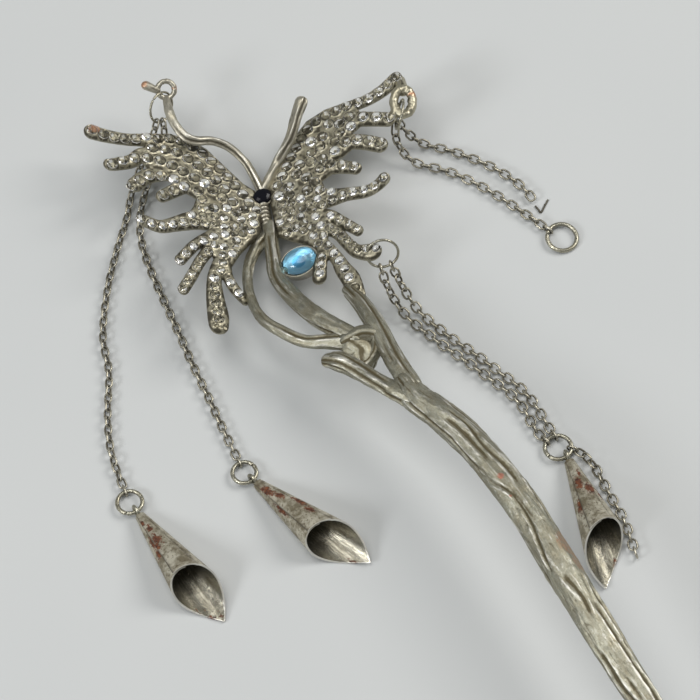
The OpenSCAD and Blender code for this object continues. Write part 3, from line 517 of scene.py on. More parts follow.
def wing_surface(name, plate, feathers, stones):
    """Top z = plane + half thickness * round(d) + rims - seats; bottom z = plane - half thickness * round(d).
    d is the depth inside the outline. Grid points just outside are drawn onto the outline, where the
    two sheets meet. A rim is a ring of four beads round each seat; noise roughens the bare metal."""
    pts = np.array(plate + [tuple(r[:2]) for f in feathers for r in f])
    lo, hi = pts.min(0) - 3, pts.max(0) + 3
    gx, gy = np.meshgrid(*(np.arange(lo[k], hi[k], WING_PITCH) for k in (0, 1)), indexing="ij")
    d = wing_field(gx, gy, plate, feathers)
    lift = lift_at(gx, gy, feathers)
    inside = d < 0
    corners = [np.s_[:-1, :-1], np.s_[1:, :-1], np.s_[:-1, 1:], np.s_[1:, 1:]]
    cell = np.any([inside[corner] for corner in corners], 0)
    used = np.zeros_like(inside)
    for corner in corners:
        used[corner] |= cell
    rim = used & ~inside
    x, y = gx.copy(), gy.copy()
    for _ in range(3):
        dd = wing_field(x[rim], y[rim], plate, feathers)
        ex = (wing_field(x[rim] + EDGE_STEP, y[rim], plate, feathers) - dd) / EDGE_STEP
        ey = (wing_field(x[rim], y[rim] + EDGE_STEP, plate, feathers) - dd) / EDGE_STEP
        n2 = np.maximum(ex ** 2 + ey ** 2, 0.2)
        x[rim] -= dd * ex / n2
        y[rim] -= dd * ey / n2
    depth = np.clip(-d, 0, None)
    depth[rim] = 0
    plane = wing_height(x, y) + lift
    relief = np.zeros_like(x)
    cavity = smooth(0.55, 0.0, depth) * 0.35
    live = depth > 0
    for sx, sy, size in [*stones, *EMPTY_SEATS]:
        near_by = live & (np.abs(x - sx) < size) & (np.abs(y - sy) < size)
        if not near_by.any():
            continue
        rx, ry = x[near_by] - sx, y[near_by] - sy
        r = np.hypot(rx, ry) / (size / 2)
        a = np.arctan2(ry, rx) + sx * 3
        seat = -SEAT_DEEP * smooth(1.0, 0.72, r)
        bead = BEAD_LOW + BEAD_HIGH * np.clip(np.cos(4 * a), 0, 1) ** 2
        wall = 1.25 * bead * np.exp(-((r - 1.12) / 0.13) ** 2)
        relief[near_by] = np.where(np.abs(seat) > 0.01, np.minimum(relief[near_by], seat) + wall * 0.6,
                                   np.maximum(relief[near_by], wall))
        # Painted shade: a thin dark ring at the edge of each seat, the stone's shadow; it darkens the colour
        # only.
        groove = 1.1 * np.exp(-((r - 0.98) / 0.11) ** 2)
        cavity[near_by] = np.where(wall > 0.14, -0.45, np.maximum(cavity[near_by], groove))
    ground = live & (np.abs(relief) < 0.02)
    grain = noise(x * 1.7, y * 1.7, 0, 5)
    fine = noise(x * 4.5, y * 4.5, 0, 9)
    relief += np.where(ground, (grain - 0.5) * 0.1 + (fine - 0.5) * 0.07, (fine - 0.5) * 0.04)
    cavity[ground] = np.clip(cavity[ground] + 0.42 + 0.9 * (0.5 - grain[ground]), 0, 1)
    edge = smooth(0.0, 0.3, depth)
    zt = plane + round_edge(depth, 0.75) + relief * edge
    zb = plane - round_edge(depth, 0.5) + (fine - 0.5) * 0.12 * edge
    zt[rim] = plane[rim]
    index = np.full(gx.shape, -1)
    index[used] = np.arange(used.sum())
    low_index = index.copy()
    low_index[inside] = used.sum() + np.arange(inside.sum())
    verts = np.concatenate([to_row(x[used], y[used], zt[used]), to_row(x[inside], y[inside], zb[inside])])
    cav = np.concatenate([cavity[used], np.full(inside.sum(), 0.3)])
    i, j = np.nonzero(cell)
    up = np.stack([index[i, j], index[i + 1, j], index[i + 1, j + 1], index[i, j + 1]], 1)
    down = np.stack([low_index[i, j], low_index[i, j + 1], low_index[i + 1, j + 1], low_index[i + 1, j]], 1)
    return make(name, verts, np.concatenate([up, down]), silver_wing, True, {"cavity": cav})


def stone_template():
    """Cut stone of radius 1: eight sided table, a crown of 24 facets, sixteen sided edge, pointed pavilion."""
    verts = np.concatenate([circle(8, 0.58, 0.34), circle(16), [[0, 0, -0.62]]])
    tris = [(0, i, i + 1) for i in range(1, 7)]
    for i in range(8):
        j, k = (i + 1) % 8, 8 + 2 * i
        tris += [(i, k + 1, j), (i, k, k + 1), (j, k + 1, 8 + (2 * i + 2) % 16)]
    tris += [(8 + i, 24, 8 + (i + 1) % 16) for i in range(16)]
    return verts, np.array(tris)


def foil_template():
    """Eight sided cone just outside the stone's lower half, its facets apart, with a thin wall."""
    upper, lower = circle(8, 1.0, -0.1), circle(8, 1.04, -0.14)
    verts, tris = [], []
    for i in range(8):
        j, k = (i + 1) % 8, 3 * i
        verts += [[0, 0, -0.66], upper[i], upper[j]]
        tris += [(k, k + 1, k + 2), (40, 32 + j, 32 + i), (24 + i, 32 + i, 32 + j), (24 + i, 32 + j, 24 + j)]
    return np.array([*verts, *upper, *lower, [0, 0, -0.74]]), np.array(tris)


def stones_piece(name, stones, template, material, rng):
    """One mesh of all stones of a wing, each turned and tipped a little and lying in the wing's slope.
    Glint is high in a stone's middle, low at its edge, and differs from facet to facet."""
    verts, tris = template
    n = len(stones)
    slope = np.stack([-WING_RISE * np.sign(stones[:, 0]), np.full(n, FORE_FALL), np.ones(n)], 1)
    slope = unit(slope + rng.normal(0, 0.05, (n, 3)))
    up = to_row(*slope.T, seat=0)
    a = rng.uniform(0, np.pi / 4, n)
    ex = unit(np.cross(np.stack([-np.sin(a), np.cos(a), 0 * a], 1), up))
    ey = np.cross(up, ex)
    x, y, size, lift = stones.T
    centre = to_row(x, y, wing_height(x, y) + lift + FEATHER_T / 2 + STONE_OVER)
    r = size[:, None] / 2 * STONE_FIT
    pts = (centre[:, None] + r[..., None] * (verts[None, :, 0, None] * ex[:, None]
           + verts[None, :, 1, None] * ey[:, None] + verts[None, :, 2, None] * up[:, None]))
    faces = (tris[None] + (np.arange(n) * len(verts))[:, None, None]).reshape(-1, 3)
    middle = np.clip(1 - np.hypot(verts[:, 0], verts[:, 1]), 0, 1)
    facet = np.repeat(rng.random((n, len(verts) // 3 + 1)), 3, axis=1)[:, :len(verts)]
    glint = (0.2 + 0.55 * facet) * (1 - middle) + (0.7 + 0.3 * facet) * middle
    return make(name, pts.reshape(-1, 3), faces, material, False, {"glint": glint.ravel()})


rng = np.random.default_rng(7)
cast = []
for side_name, plate, feathers, rows, side in (("left", LEFT_PLATE, curl(LEFT_FEATHERS), LEFT_ROWS, -1),
                                               ("right", RIGHT_PLATE, curl(RIGHT_FEATHERS), RIGHT_ROWS, 1)):
    stones = lay_stones(rows, plate, feathers, side, rng)
    cast.append(wing_surface(f"wing_{side_name}", plate, feathers, stones))
    lifted = np.c_[stones, lift_at(stones[:, 0], stones[:, 1], feathers)]
    state = rng.bit_generator.state
    stones_piece(f"clear_stones_{side_name}", lifted, stone_template(), glass_mat, rng)
    rng.bit_generator.state = state
    stones_piece(f"stone_foils_{side_name}", lifted, foil_template(), foil_mat, rng)


# Branches, shank and antennae: points round the section, turn of the bark, and the path with its width and
# depth.
BRANCHES = {
    "left_branch": (40, 15, [
        (-2.8, -6.6, 3.4, 2.6, 2.6), (-7.6, -8.9, 4.6, 2.5, 2.6), (-11.6, -12.5, 5.8, 2.2, 2.4),
        (-14.2, -17.3, 7, 1.9, 2.4), (-15.3, -22.5, 8, 2, 2.4), (-14.3, -27.1, 9, 2.3, 2.4),
        (-12.3, -31.6, 10, 2.5, 2.4), (-9, -34.6, 11, 3.1, 2.6), (-5.8, -37.2, 12, 4.2, 3)]),
    "middle_branch": (48, 80, [
        (-2.4, -5.9, 3.6, 3, 3.4), (-5.4, -11.4, 5.2, 2.9, 3), (-7.8, -16.2, 6.5, 3.2, 3.1),
        (-8.4, -21.2, 8, 3.5, 3.2), (-8, -26.4, 9.5, 3.8, 3.3), (-6.8, -31.8, 11, 3.8, 3.4),
        (-5, -37, 12, 3.8, 3.6)]),
    "right_branch": (48, 115, [
        (0.4, -27.8, 9.6, 2.9, 2.8), (0.4, -31.4, 10.6, 3.5, 3), (-0.4, -37.2, 12, 3.9, 3.4),
        (-1.8, -44.2, 13, 3.9, 3.6), (-2.7, -51.5, 14, 4.3, 4)]),
    "lower_branch": (44, 115, [
        (-11, -37.7, 10.8, 2.9, 2.5), (-9.7, -39.2, 11.4, 4.2, 3), (-8.3, -42.3, 12, 3.9, 3),
        (-6.6, -48, 13.2, 3.3, 3.1), (-4.4, -53.4, 14, 3.8, 3.5)]),
    "shank": (88, 30, [
        (-3.3, -50.6, 13.9, 4.8, 4.2), (-3.3, -54.3, 14.3, 5.9, 4.8), (-2.3, -58.9, 15, 6.1, 5),
        (-1.2, -66.7, 16, 6.4, 5.1), (-0.95, -76, 17, 6.5, 5.1), (-1.2, -83, 17.4, 6.5, 5.1),
        (-2.1, -91.6, 17.6, 6.7, 5.1), (-3.2, -100.6, 17.6, 6.7, 5.1), (-4.2, -108.5, 17.2, 6.5, 5),
        (-4.75, -116, 16.3, 6.2, 4.9), (-4.8, -123, 15.3, 5.9, 4.8), (-5, -136, 12, 5, 4.5),
        (-5.1, -148, 8, 4.3, 4.1), (-5.2, -160, 4.2, 3.6, 3.5), (-5.1, -167, 1.8, 3.2, 3.2),
        (-5, -170, 1.28, 2.9, 2.9)]),
    "left_antenna": (32, 20, [
        (0.6, 0.9, 3.6, 1.8, 1.8), (1, 3.8, 4.6, 1.6, 1.6), (1.2, 7.4, 5.6, 1.6, 1.6),
        (0.2, 10.9, 6.6, 1.6, 1.6), (-1.9, 13.4, 7.5, 1.6, 1.6), (-4.5, 14.5, 8.5, 1.7, 1.6),
        (-5.9, 16.1, 9, 1.8, 1.7), (-6.2, 18.8, 9.5, 1.8, 1.7), (-5.7, 22, 9.8, 1.9, 1.7),
        (-4.6, 24.6, 9.7, 1.5, 1.4)]),
    "right_antenna": (32, 70, [
        (1.4, 1.4, 3.8, 1.8, 1.8), (6.3, 4, 5.5, 2, 2), (10, 5.5, 7.8, 2.1, 2),
        (13, 7.8, 9.4, 2.3, 2.1), (15.2, 9.3, 10.6, 2.6, 2.3)]),
    "stub": (40, 0, [
        (-6.3, -36.8, 11.9, 3.4, 3.4), (-3.4, -37.4, 12.2, 3.7, 3.7), (-1.7, -39.3, 12.1, 3.2, 3.2),
        (-3.2, -41.1, 11.6, 2.7, 2.7), (-5, -42, 11.4, 2.4, 2.4), (-6.8, -42.4, 11.6, 2.2, 2.2)]),
    "web": (44, 40, [
        (-5.8, -38.2, 11.6, 5, 3.6), (-5.4, -39.6, 11.4, 6, 3.5), (-5.8, -40.8, 11.2, 6, 3.3)]),
}
# Depth of the furrows where it isn't 1.
GROOVES = {"left_antenna": 0.8, "right_antenna": 0.8, "stub": 0.1, "web": 0.1}


def bark(s, a, radius, seed, phase, groove):
    """Share of the half width: broad lobes, and furrows that run along the branch, each one wandering
    round it and fading in and out by noise, with a lip on both sides. Returns the relief and how deep in a
    furrow each place is, negative on a lip."""
    deg = np.degrees(a)
    lobes = 0.08 * (-1 + 0.6 * np.cos(np.radians(3 * deg + 9 * s + phase))
                    + 0.4 * np.cos(np.radians(5 * deg - 14 * s + 2 * phase)))
    across, up = radius * np.cos(a), radius * np.sin(a)
    pores = noise(s * 0.24, across * 2.2, up * 2.2, seed + 2)
    pits = noise(s * 0.7, across * 3.2, up * 3.2, seed + 3) - 0.5

    def along(pitch, row, at):
        return noise(s[:, :1] * pitch, row, at, seed)

    lines = int(np.clip(radius.mean() * 3.4, 3, 11))
    furrow, lip = np.zeros_like(s), np.zeros_like(s)
    for k in range(lines):
        wander = 64 * (along(0.055, 3.7 * k, 0.5) - 0.5) + 34 * (along(0.18, 5.3 * k, 3.5) - 0.5)
        there = smooth(0.44, 0.62, along(0.11, 9.1 * k, 7.5))
        wide = 0.2 + 0.3 * along(0.12, 2.3 * k, 11.5)
        off = np.radians((deg - phase - 360 * k / lines - wander + 540) % 360 - 180) * radius
        furrow = np.maximum(furrow, there * np.exp(-(off / wide) ** 2))
        lip = np.maximum(lip, there * np.exp(-((np.abs(off) - 2 * wide) / (0.7 * wide)) ** 2))
    lip *= 1 - furrow
    small = smooth(0.84, 0.99, 1 - np.abs(2 * pores - 1)) * 0.5
    rough = -0.4 * furrow + 0.12 * lip - 0.14 * small + 0.2 * pits
    deep = np.maximum(furrow * 0.9, small * 0.8) - 0.5 * pits
    return (lobes + rough * groove / np.maximum(radius, 0.6),
            np.clip(deep - 0.55 * groove * lip * (1 - deep), -1, 1))


def strand_at(radius, angle, along):
    """Place on the piece, straightened and a quarter as long, so that noise over it draws out to threads."""
    return np.stack([radius * np.cos(angle), radius * np.sin(angle), 0.25 * along], -1).reshape(-1, 3)


def bark_piece(name, around, phase, rows, groove, step, material):
    """Oval section with bark relief, carried along the smooth curve through the rows. Its name's letters
    add up to the seed of the bark."""
    full, fall, s = rounded(rows, step)
    ss, aa = np.meshgrid(s, np.arange(around) * 2 * np.pi / around, indexing="ij")
    half = full[:, 3:4] / 2
    relief, cavity = bark(ss, aa, half, sum(map(ord, name)) % 97, phase, groove)
    section = np.stack([np.cos(aa), np.sin(aa)], -1) * (1 + relief)[..., None]
    verts, faces = tube(full[:, :3] + SEAT, full[:, 3] * fall, full[:, 4] * fall, section)
    return make(name, verts, faces, material, True, {
        "cavity": np.append(cavity, [0, 0]),
        "strand": np.concatenate([strand_at(half, aa, ss), [[0, 0, 0], [0, 0, 0.25 * s[-1]]]])})


for name, (around, phase, rows) in BRANCHES.items():
    step, metal = (0.3, silver_part) if "antenna" in name else (0.4, silver_bark)
    cast.append(bark_piece(name, around, phase, rows, GROOVES.get(name, 1.0), step, metal))


def plain_rod(name, a, b, ra, rb, material=silver_part):
    """Short cast rod from a to b, with its radius at each end."""
    rows = [(*a, 2 * ra, 2 * ra), (*((a + b) / 2), ra + rb, ra + rb), (*b, 2 * rb, 2 * rb)]
    return bark_piece(name, 24, 0, rows, 0.25, 0.25, material)


def turned(v, degrees):
    """Points turned about X, then Y, then Z."""
    for axis, angle in enumerate(np.radians(degrees)):
        p, q = (axis + 1) % 3, (axis + 2) % 3
        matrix = np.eye(3)
        matrix[p, p] = matrix[q, q] = np.cos(angle)
        matrix[q, p], matrix[p, q] = np.sin(angle), -np.sin(angle)
        v = v @ matrix.T
    return v


def ring_piece(name, centre, turn, major, minor, material, gap=0.0, start=0.0, wobble=0.0, n=96, m=20,
               stretch=1.0):
    """Round wire round a circle or an oval; a gap leaves the cut where the ring was closed."""
    closed = gap <= 0
    t = np.linspace(0, 2 * np.pi - gap, n, endpoint=not closed) + start
    tt, aa = np.meshgrid(t, np.arange(m) * 2 * np.pi / m, indexing="ij")
    grain = noise(np.cos(tt) * 3 * major, np.sin(tt) * 3 * major, aa, 3) - 0.5
    r = minor * (1 + wobble * grain)
    if not closed:
        r[[0, -1]] *= 0.8
    out = np.stack([stretch * np.cos(tt), np.sin(tt)], -1)
    out /= np.hypot(out[..., :1], out[..., 1:])
    pts = np.stack([major * np.cos(tt) + r * np.cos(aa) * out[..., 0],
                    stretch * major * np.sin(tt) + r * np.cos(aa) * out[..., 1], r * np.sin(aa)], -1)
    verts, faces = pts.reshape(-1, 3), [grid_faces(n, m, True, closed)]
    # Painted shade: the inner side of the wire, facing the ring's middle, is darker. Where the grain is high
    # the wire is darker at random, and the cut's end faces are darker too.
    cavity = (smooth(0.3, 1.0, -np.cos(aa)) * 0.5 + 0.3 * (grain > 0.25)).ravel()
    if not closed:
        verts = np.concatenate([verts, [pts[0].mean(0), pts[-1].mean(0)]])
        faces += end_fans(n, m)
        cavity = np.append(cavity, [0.6, 0.6])
    return make(name, turned(verts, turn) + centre + SEAT, faces, material, True, {"cavity": cavity})


ANTENNA_LOOP = np.array([-3.73, 26.04, 10.4])
TIP_LOOP = np.array([30.48, -1.75, 11.6])
cast += [
    ring_piece("antenna_loop", ANTENNA_LOOP, (29.2, -14.9, 0), 1.55, 0.5, silver_part, wobble=0.25),
    plain_rod("antenna_knob", ANTENNA_LOOP + [-1.5, 0.7, 0.1], ANTENNA_LOOP + [-2.7, 2.6, 0.4], 0.7, 0.95),
    ring_piece("wing_tip_loop", TIP_LOOP, (13, 0, -35), 1.7, 0.85, silver_wing, wobble=0.3, stretch=1.45),
    plain_rod("wing_tip_rod_a", TIP_LOOP + [1.3, 1.9, 0.1], (32.7, 3.0, 10.4), 1.1, 1.4, silver_wing),
    plain_rod("wing_tip_rod_b", TIP_LOOP + [-1.9, -0.4, -0.2], (27.2, -2.9, 10.7), 0.8, 1, silver_wing),
    plain_rod("cup_stem", BLUE_AT + [-2, 0.4, -1.4], (-7.6, -15.6, 6), 0.9, 1),
]


BODY_SIDES, CUP_SIDES = 36, 72


def ribbed_body():
    """Path from head to tail; width follows a sine, with a rib at each seventh of the length."""
    f = np.linspace(0, 1, 141)
    rib = 0.78 + 0.22 * np.abs(np.sin(7 * np.pi * f)) ** 0.7
    path = np.stack([-0.2 - 2.7 * f, -0.4 - 5.4 * f, 2.4 + 0.5 * f], 1) + SEAT
    end = np.sqrt(np.clip(np.minimum(f, 1 - f) / 0.03, 0.02, 1))
    section = np.broadcast_to(circle(BODY_SIDES)[:, :2], (len(f), BODY_SIDES, 2))
    verts, faces = tube(path, 2.1 * (1 + 0.25 * np.sin(np.pi * f)) * rib * end, 4.5 * rib * end, section)
    cavity = np.append(np.repeat(smooth(0.93, 0.8, rib), BODY_SIDES), [0, 0])
    return make("ribbed_body", verts, faces, silver_part, True, {"cavity": cavity})


cast.append(ribbed_body())


def cup_piece(name, centre, turn, length, width, bottom):
    """Oval cup: profile of bottom, flared side, round lip, inner side and floor, turned and squeezed."""
    inner, rim = length / 2 + 0.1, 0.5
    outer = inner + 0.4
    profile = np.array([
        (0.01, bottom), (outer - 0.4, bottom), (outer - 0.2, bottom + 0.25), (outer - 0.02, rim - 0.25),
        (outer, rim - 0.12), (outer - 0.1, rim), (inner + 0.08, rim + 0.02), (inner, rim - 0.08),
        (inner, 0.05), (0.01, 0.05)])
    squeeze = (width + 0.2) / (length + 0.2)
    pts = (circle(CUP_SIDES, z=1.0) * [1, squeeze, 1])[None] * profile[:, None, [0, 0, 1]]
    faces = grid_faces(len(profile), CUP_SIDES, True)[:, ::-1]
    # Painted shade: dark on the inner side and the floor, where the stone's girdle throws shadow into the cup,
    # and a little darker on the lower outside.
    cavity = np.repeat([0.3, 0.5, 0.4, 0.2, 0, 0, 0.1, 0.9, 1, 1], CUP_SIDES)
    return make(name, turned(pts.reshape(-1, 3), turn) + centre + SEAT, faces, silver_part, True,
                {"cavity": cavity})


BLUE_TURN, BLUE_SIZE = (3, -19, -17), (6.6, 5.0)
cast += [cup_piece("black_cup", BLACK_AT, (0, 0, 0), 3.3, 2.8, -1.4),
         cup_piece("blue_cup", BLUE_AT, BLUE_TURN, *BLUE_SIZE, -2.2)]
for piece in cast:
    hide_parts("casting")


# Main stones


def faceted(name, centre, turn, length, width, crown, rows, material, sides, dome=False):
    """Oval stone: table, rings of facets turned by half a step, girdle and low pavilion. Columns of rows:
    share of the half size, share of the crown's height."""
    rings = [circle(sides, r, z, 0.5 * (k % 2)) for k, (r, z) in enumerate(rows)]
    ends = [[0, 0, rows[0][1]], [0, 0, rows[-1][1]]]
    verts = np.concatenate([*rings, ends]) * [length / 2, width / 2, crown]
    i = np.arange(sides)
    j, top = (i + 1) % sides, len(rows) * sides
    last = top - sides
    tris = [(top + 0 * i, i, j), (top + 1 + 0 * i, last + j, last + i)]
    for k in range(len(rows) - 1):
        a, b = k * sides + i, k * sides + j
        c, d = a + sides, b + sides
        tris += [(a, c, b), (b, c, d)] if k % 2 == 0 else [(a, c, d), (a, d, b)]
    faces = np.concatenate([np.stack(t, 1) for t in tris])
    return make(name, turned(verts, turn) + centre + SEAT, faces, material, dome)


def black_glass():
    """Black glass, dulled by fine scratches."""
    mat, tree, bsdf = nodes_of("black_glass", Base_Color=(0.006, 0.006, 0.009, 1), Specular_IOR_Level=0.22)
    scratched = ramp(tree, object_noise(tree, 2500.0, 3.0), (0.4, 0.06), (0.7, 0.22))
    tree.links.new(scratched, bsdf.inputs["Roughness"])
    return mat


blue_rows = [(0.3, 1.0), (0.55, 0.93), (0.75, 0.77), (0.89, 0.52), (0.97, 0.24), (1.0, 0.06), (1.0, -0.02),
             (0.55, -0.2)]
blue = faceted("blue_stone_cut", BLUE_AT + [0, 0, 0.45], BLUE_TURN, *BLUE_SIZE, 1.7, blue_rows,
               glass("blue_glass", (0.34, 0.66, 0.84), 1.55, 0.1), 44, True)
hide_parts("blue_stone")
blue_foil_mat = nodes_of("blue_foil", Base_Color=(0.8, 0.9, 0.95, 1), Metallic=1.0, Roughness=0.38)[0]
faceted("blue_foil", BLUE_AT + [0, 0, 0.07], BLUE_TURN, 6.5, 4.9, 1.0,
        [(0.2, -0.0), (0.6, 0.03), (1.0, 0.3), (1.0, 0.28), (0.2, -0.05)], blue_foil_mat, 10)
black_rows = [(0.52, 1.0), (0.8, 0.72), (1.0, 0.1), (1.0, -0.1), (0.6, -0.4)]
black = faceted("black_stone_cut", BLACK_AT + [0, 0, 0.62], (0, 0, 0), 3.8, 3.2, 0.8, black_rows,
                black_glass(), 16)
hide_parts("black_stone")


# Jump rings. Columns: centre, tilt about X, tilt about Y, radius to the wire's middle, wire, place of the cut.
JUMP_RINGS = {
    "antenna_ring": ((-6.1, 24.21, 8.74), 58.6, 39.2, 2.9, 0.46, 2.6),
    "upper_wing_ring": ((28.41, -3.52, 11.53), -39.6, -73, 2.75, 0.5, 0.4),
    "lower_wing_ring": ((9.47, -25.13, 10.3), 51.5, -41, 2.9, 0.5, 1.2),
    "left_ring_a": ((-53.28, -36.73, 1.07), -4, 0, 2.25, 0.76, 3.9),
    "left_ring_b": ((-33.3, -43.5, 1.07), -4, 1, 2.15, 0.76, 0.2),
    "free_ring": ((41.7, -37, 0.77), 3.5, 2, 2.75, 0.8, 2.35),
    "right_ring": ((15.65, -71.34, 1.1), -4, -1, 2.4, 0.8, 3.4),
}
for name, (centre, tx, ty, major, wire, cut) in JUMP_RINGS.items():
    ring = ring_piece(f"{name}_wire", centre, (tx, ty, 0), major, wire / 2, ring_metal, gap=0.045,
                      start=cut, wobble=0.06, n=120, m=18)
    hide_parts(name)


# Chain links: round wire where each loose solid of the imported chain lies.


def loose_solids(obj):
    """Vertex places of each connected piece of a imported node, by spreading the lowest number along faces."""
    n = len(obj.data.vertices)
    co = np.empty(n * 3, np.float32)
    obj.data.vertices.foreach_get("co", co)
    _, same = np.unique(np.round(co.reshape(-1, 3) * 1e6).astype(np.int64), axis=0, return_inverse=True)
    same = same.ravel()
    loops = np.empty(len(obj.data.loops), np.int32)
    obj.data.loops.foreach_get("vertex_index", loops)
    tri = same[loops].reshape(-1, 3)
    label = np.arange(same.max() + 1)
    while True:
        low = label[tri].min(1)
        new = label.copy()
        for k in range(3):
            np.minimum.at(new, tri[:, k], low)
        new = new[new]
        if (new == label).all():
            break
        label = new
    places = np.zeros((same.max() + 1, 3))
    places[same] = co.reshape(-1, 3) / MM
    return [places[label == v] for v in np.unique(label)]


LINK_WIRE, LINK_POINTS, LINK_SIDES = 0.42, 14, 5
OPENED_WIRE, OPENED_Z = 0.37, 0.19
OPENED_PATH = [(41.75, -28.7), (41.8, -29.5), (41.85, -30.3), (43.1, -29.6), (44.4, -28.9)]


def link_mesh(solids, rng):
    """Wire round an oval: two straights and two half circles, in each link's own principal axes."""
    out, faces, cavity = [], [], []
    a = np.arange(LINK_POINTS) * 2 * np.pi / LINK_POINTS
    _, across, up = circle(LINK_SIDES, LINK_WIRE / 2).T[[2, 0, 1]]
    up = np.outer(up, [0, 0, 1.0])
    for p in solids:
        c = (p.min(0) + p.max(0)) / 2
        _, _, axes = np.linalg.svd(p - p.mean(0), full_matrices=False)
        q = (p - c) @ axes.T
        c = c + ((q.min(0) + q.max(0)) / 2) @ axes
        length, width, _ = q.max(0) - q.min(0)
        r, straight = (width - LINK_WIRE) / 2, (length - width) / 2
        line = np.stack([r * np.cos(a) + straight * np.sign(np.cos(a)) * np.minimum(1, np.abs(np.cos(a)) * 4),
                         r * np.sin(a), 0.03 * rng.normal() * np.sin(2 * a)], 1)
        side = np.cross(unit(np.roll(line, -1, 0) - np.roll(line, 1, 0)), [0, 0, 1.0])
        pts = line[:, None] + side[:, None] * across[:, None] + up
        if np.linalg.det(axes) < 0:
            axes = axes * np.array([[1], [1], [-1]])
        first = len(out) * LINK_POINTS * LINK_SIDES
        faces.append(grid_faces(LINK_POINTS, LINK_SIDES, True, True)[:, ::-1] + first)
        out.append(pts.reshape(-1, 3) @ axes + c)
        # Painted shade: the inner side of the wire, facing the link's middle, is darker; each link also gets
        # its own random tone.
        shade = smooth(0.1, -0.9, across * 2 / LINK_WIRE) * 0.8
        cavity.append(np.tile(shade, LINK_POINTS) + 0.25 * rng.random())
    return np.concatenate(out), np.concatenate(faces), np.concatenate(cavity)


for name in ("left_chain_a", "left_chain_b", "upper_chain_a", "upper_chain_b", "rolling_chain_a",
             "rolling_chain_b", "rolling_tail"):
    closed = [p for p in loose_solids(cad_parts[name]) if p[:, 2].max() > 0.5]
    verts, faces, cavity = link_mesh(closed, rng)
    links = make(f"{name}_links", verts, faces, link_metal, True, {"cavity": cavity})
    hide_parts(name)
# The last link of the upper chain, pulled open to a V that lies flat.
opened = bark_piece("opened_link", 16, 0, [(x, y, OPENED_Z, OPENED_WIRE, OPENED_WIRE) for x, y in OPENED_PATH],
                    0.0, 0.15, link_metal)


# Rolled cones

CONE_L, CONE_NECK, CONE_SLOPE, CONE_MOUTH, SHEET = 25.3, 1.05, 0.18, 0.59, 0.36
# Degrees of the wrap, where it starts, how much the radius shrinks in a full turn, and the angle that lies
# on the table. Then the crease: its angle at the tip and how far it leans towards the mouth.
WRAP, WRAP_START, WRAP_SHRINK, WRAP_DOWN = 400.0, -35.0, 0.54, 215
CREASE, CREASE_LEAN = 64, 8
FILM, BARE, SPECKS, SEAM_DARK = (0.56, 0.525, 0.42), (0.22, 0.19, 0.125), (0.14, 0.11, 0.07), (0.05, 0.04, 0.03)
RUST_DARK, RUST_LIGHT, LIP_HIGHLIGHT = (0.045, 0.016, 0.009), (0.2, 0.065, 0.024), (0.8, 0.78, 0.72)
# Cones. Columns: x, y, heading, roll, seed of the wear, and rust spots by share of the length, angle, reach
# along and reach round.
CONES = {
    "cone_left_a": (-53.31, -38.98, -90.7, -18, 3, [
        (0.15, 8, 0.06, 14), (0.27, 26, 0.06, 18), (0.46, 22, 0.09, 20), (0.55, 8, 0.07, 12),
        (0.45, 350, 0.1, 20), (0.62, 346, 0.07, 16), (0.97, 196, 0.04, 8), (0.99, 214, 0.03, 8),
        (0.97, 232, 0.03, 6)]),
    "cone_left_b": (-32.87, -45.61, -78.5, -34, 11, [
        (0.2, 20, 0.1, 30), (0.55, 70, 0.1, 16), (0.36, 40, 0.07, 16), (0.75, 60, 0.07, 14),
        (0.5, 350, 0.12, 16), (0.98, 200, 0.03, 8)]),
    "cone_right": (15.81, -73.73, -106.1, 26, 23, [
        (0.5, 60, 0.1, 22), (0.38, 24, 0.1, 22), (0.6, 100, 0.09, 20), (0.25, 50, 0.06, 14),
        (0.62, 350, 0.1, 18), (0.985, 200, 0.03, 10)])}


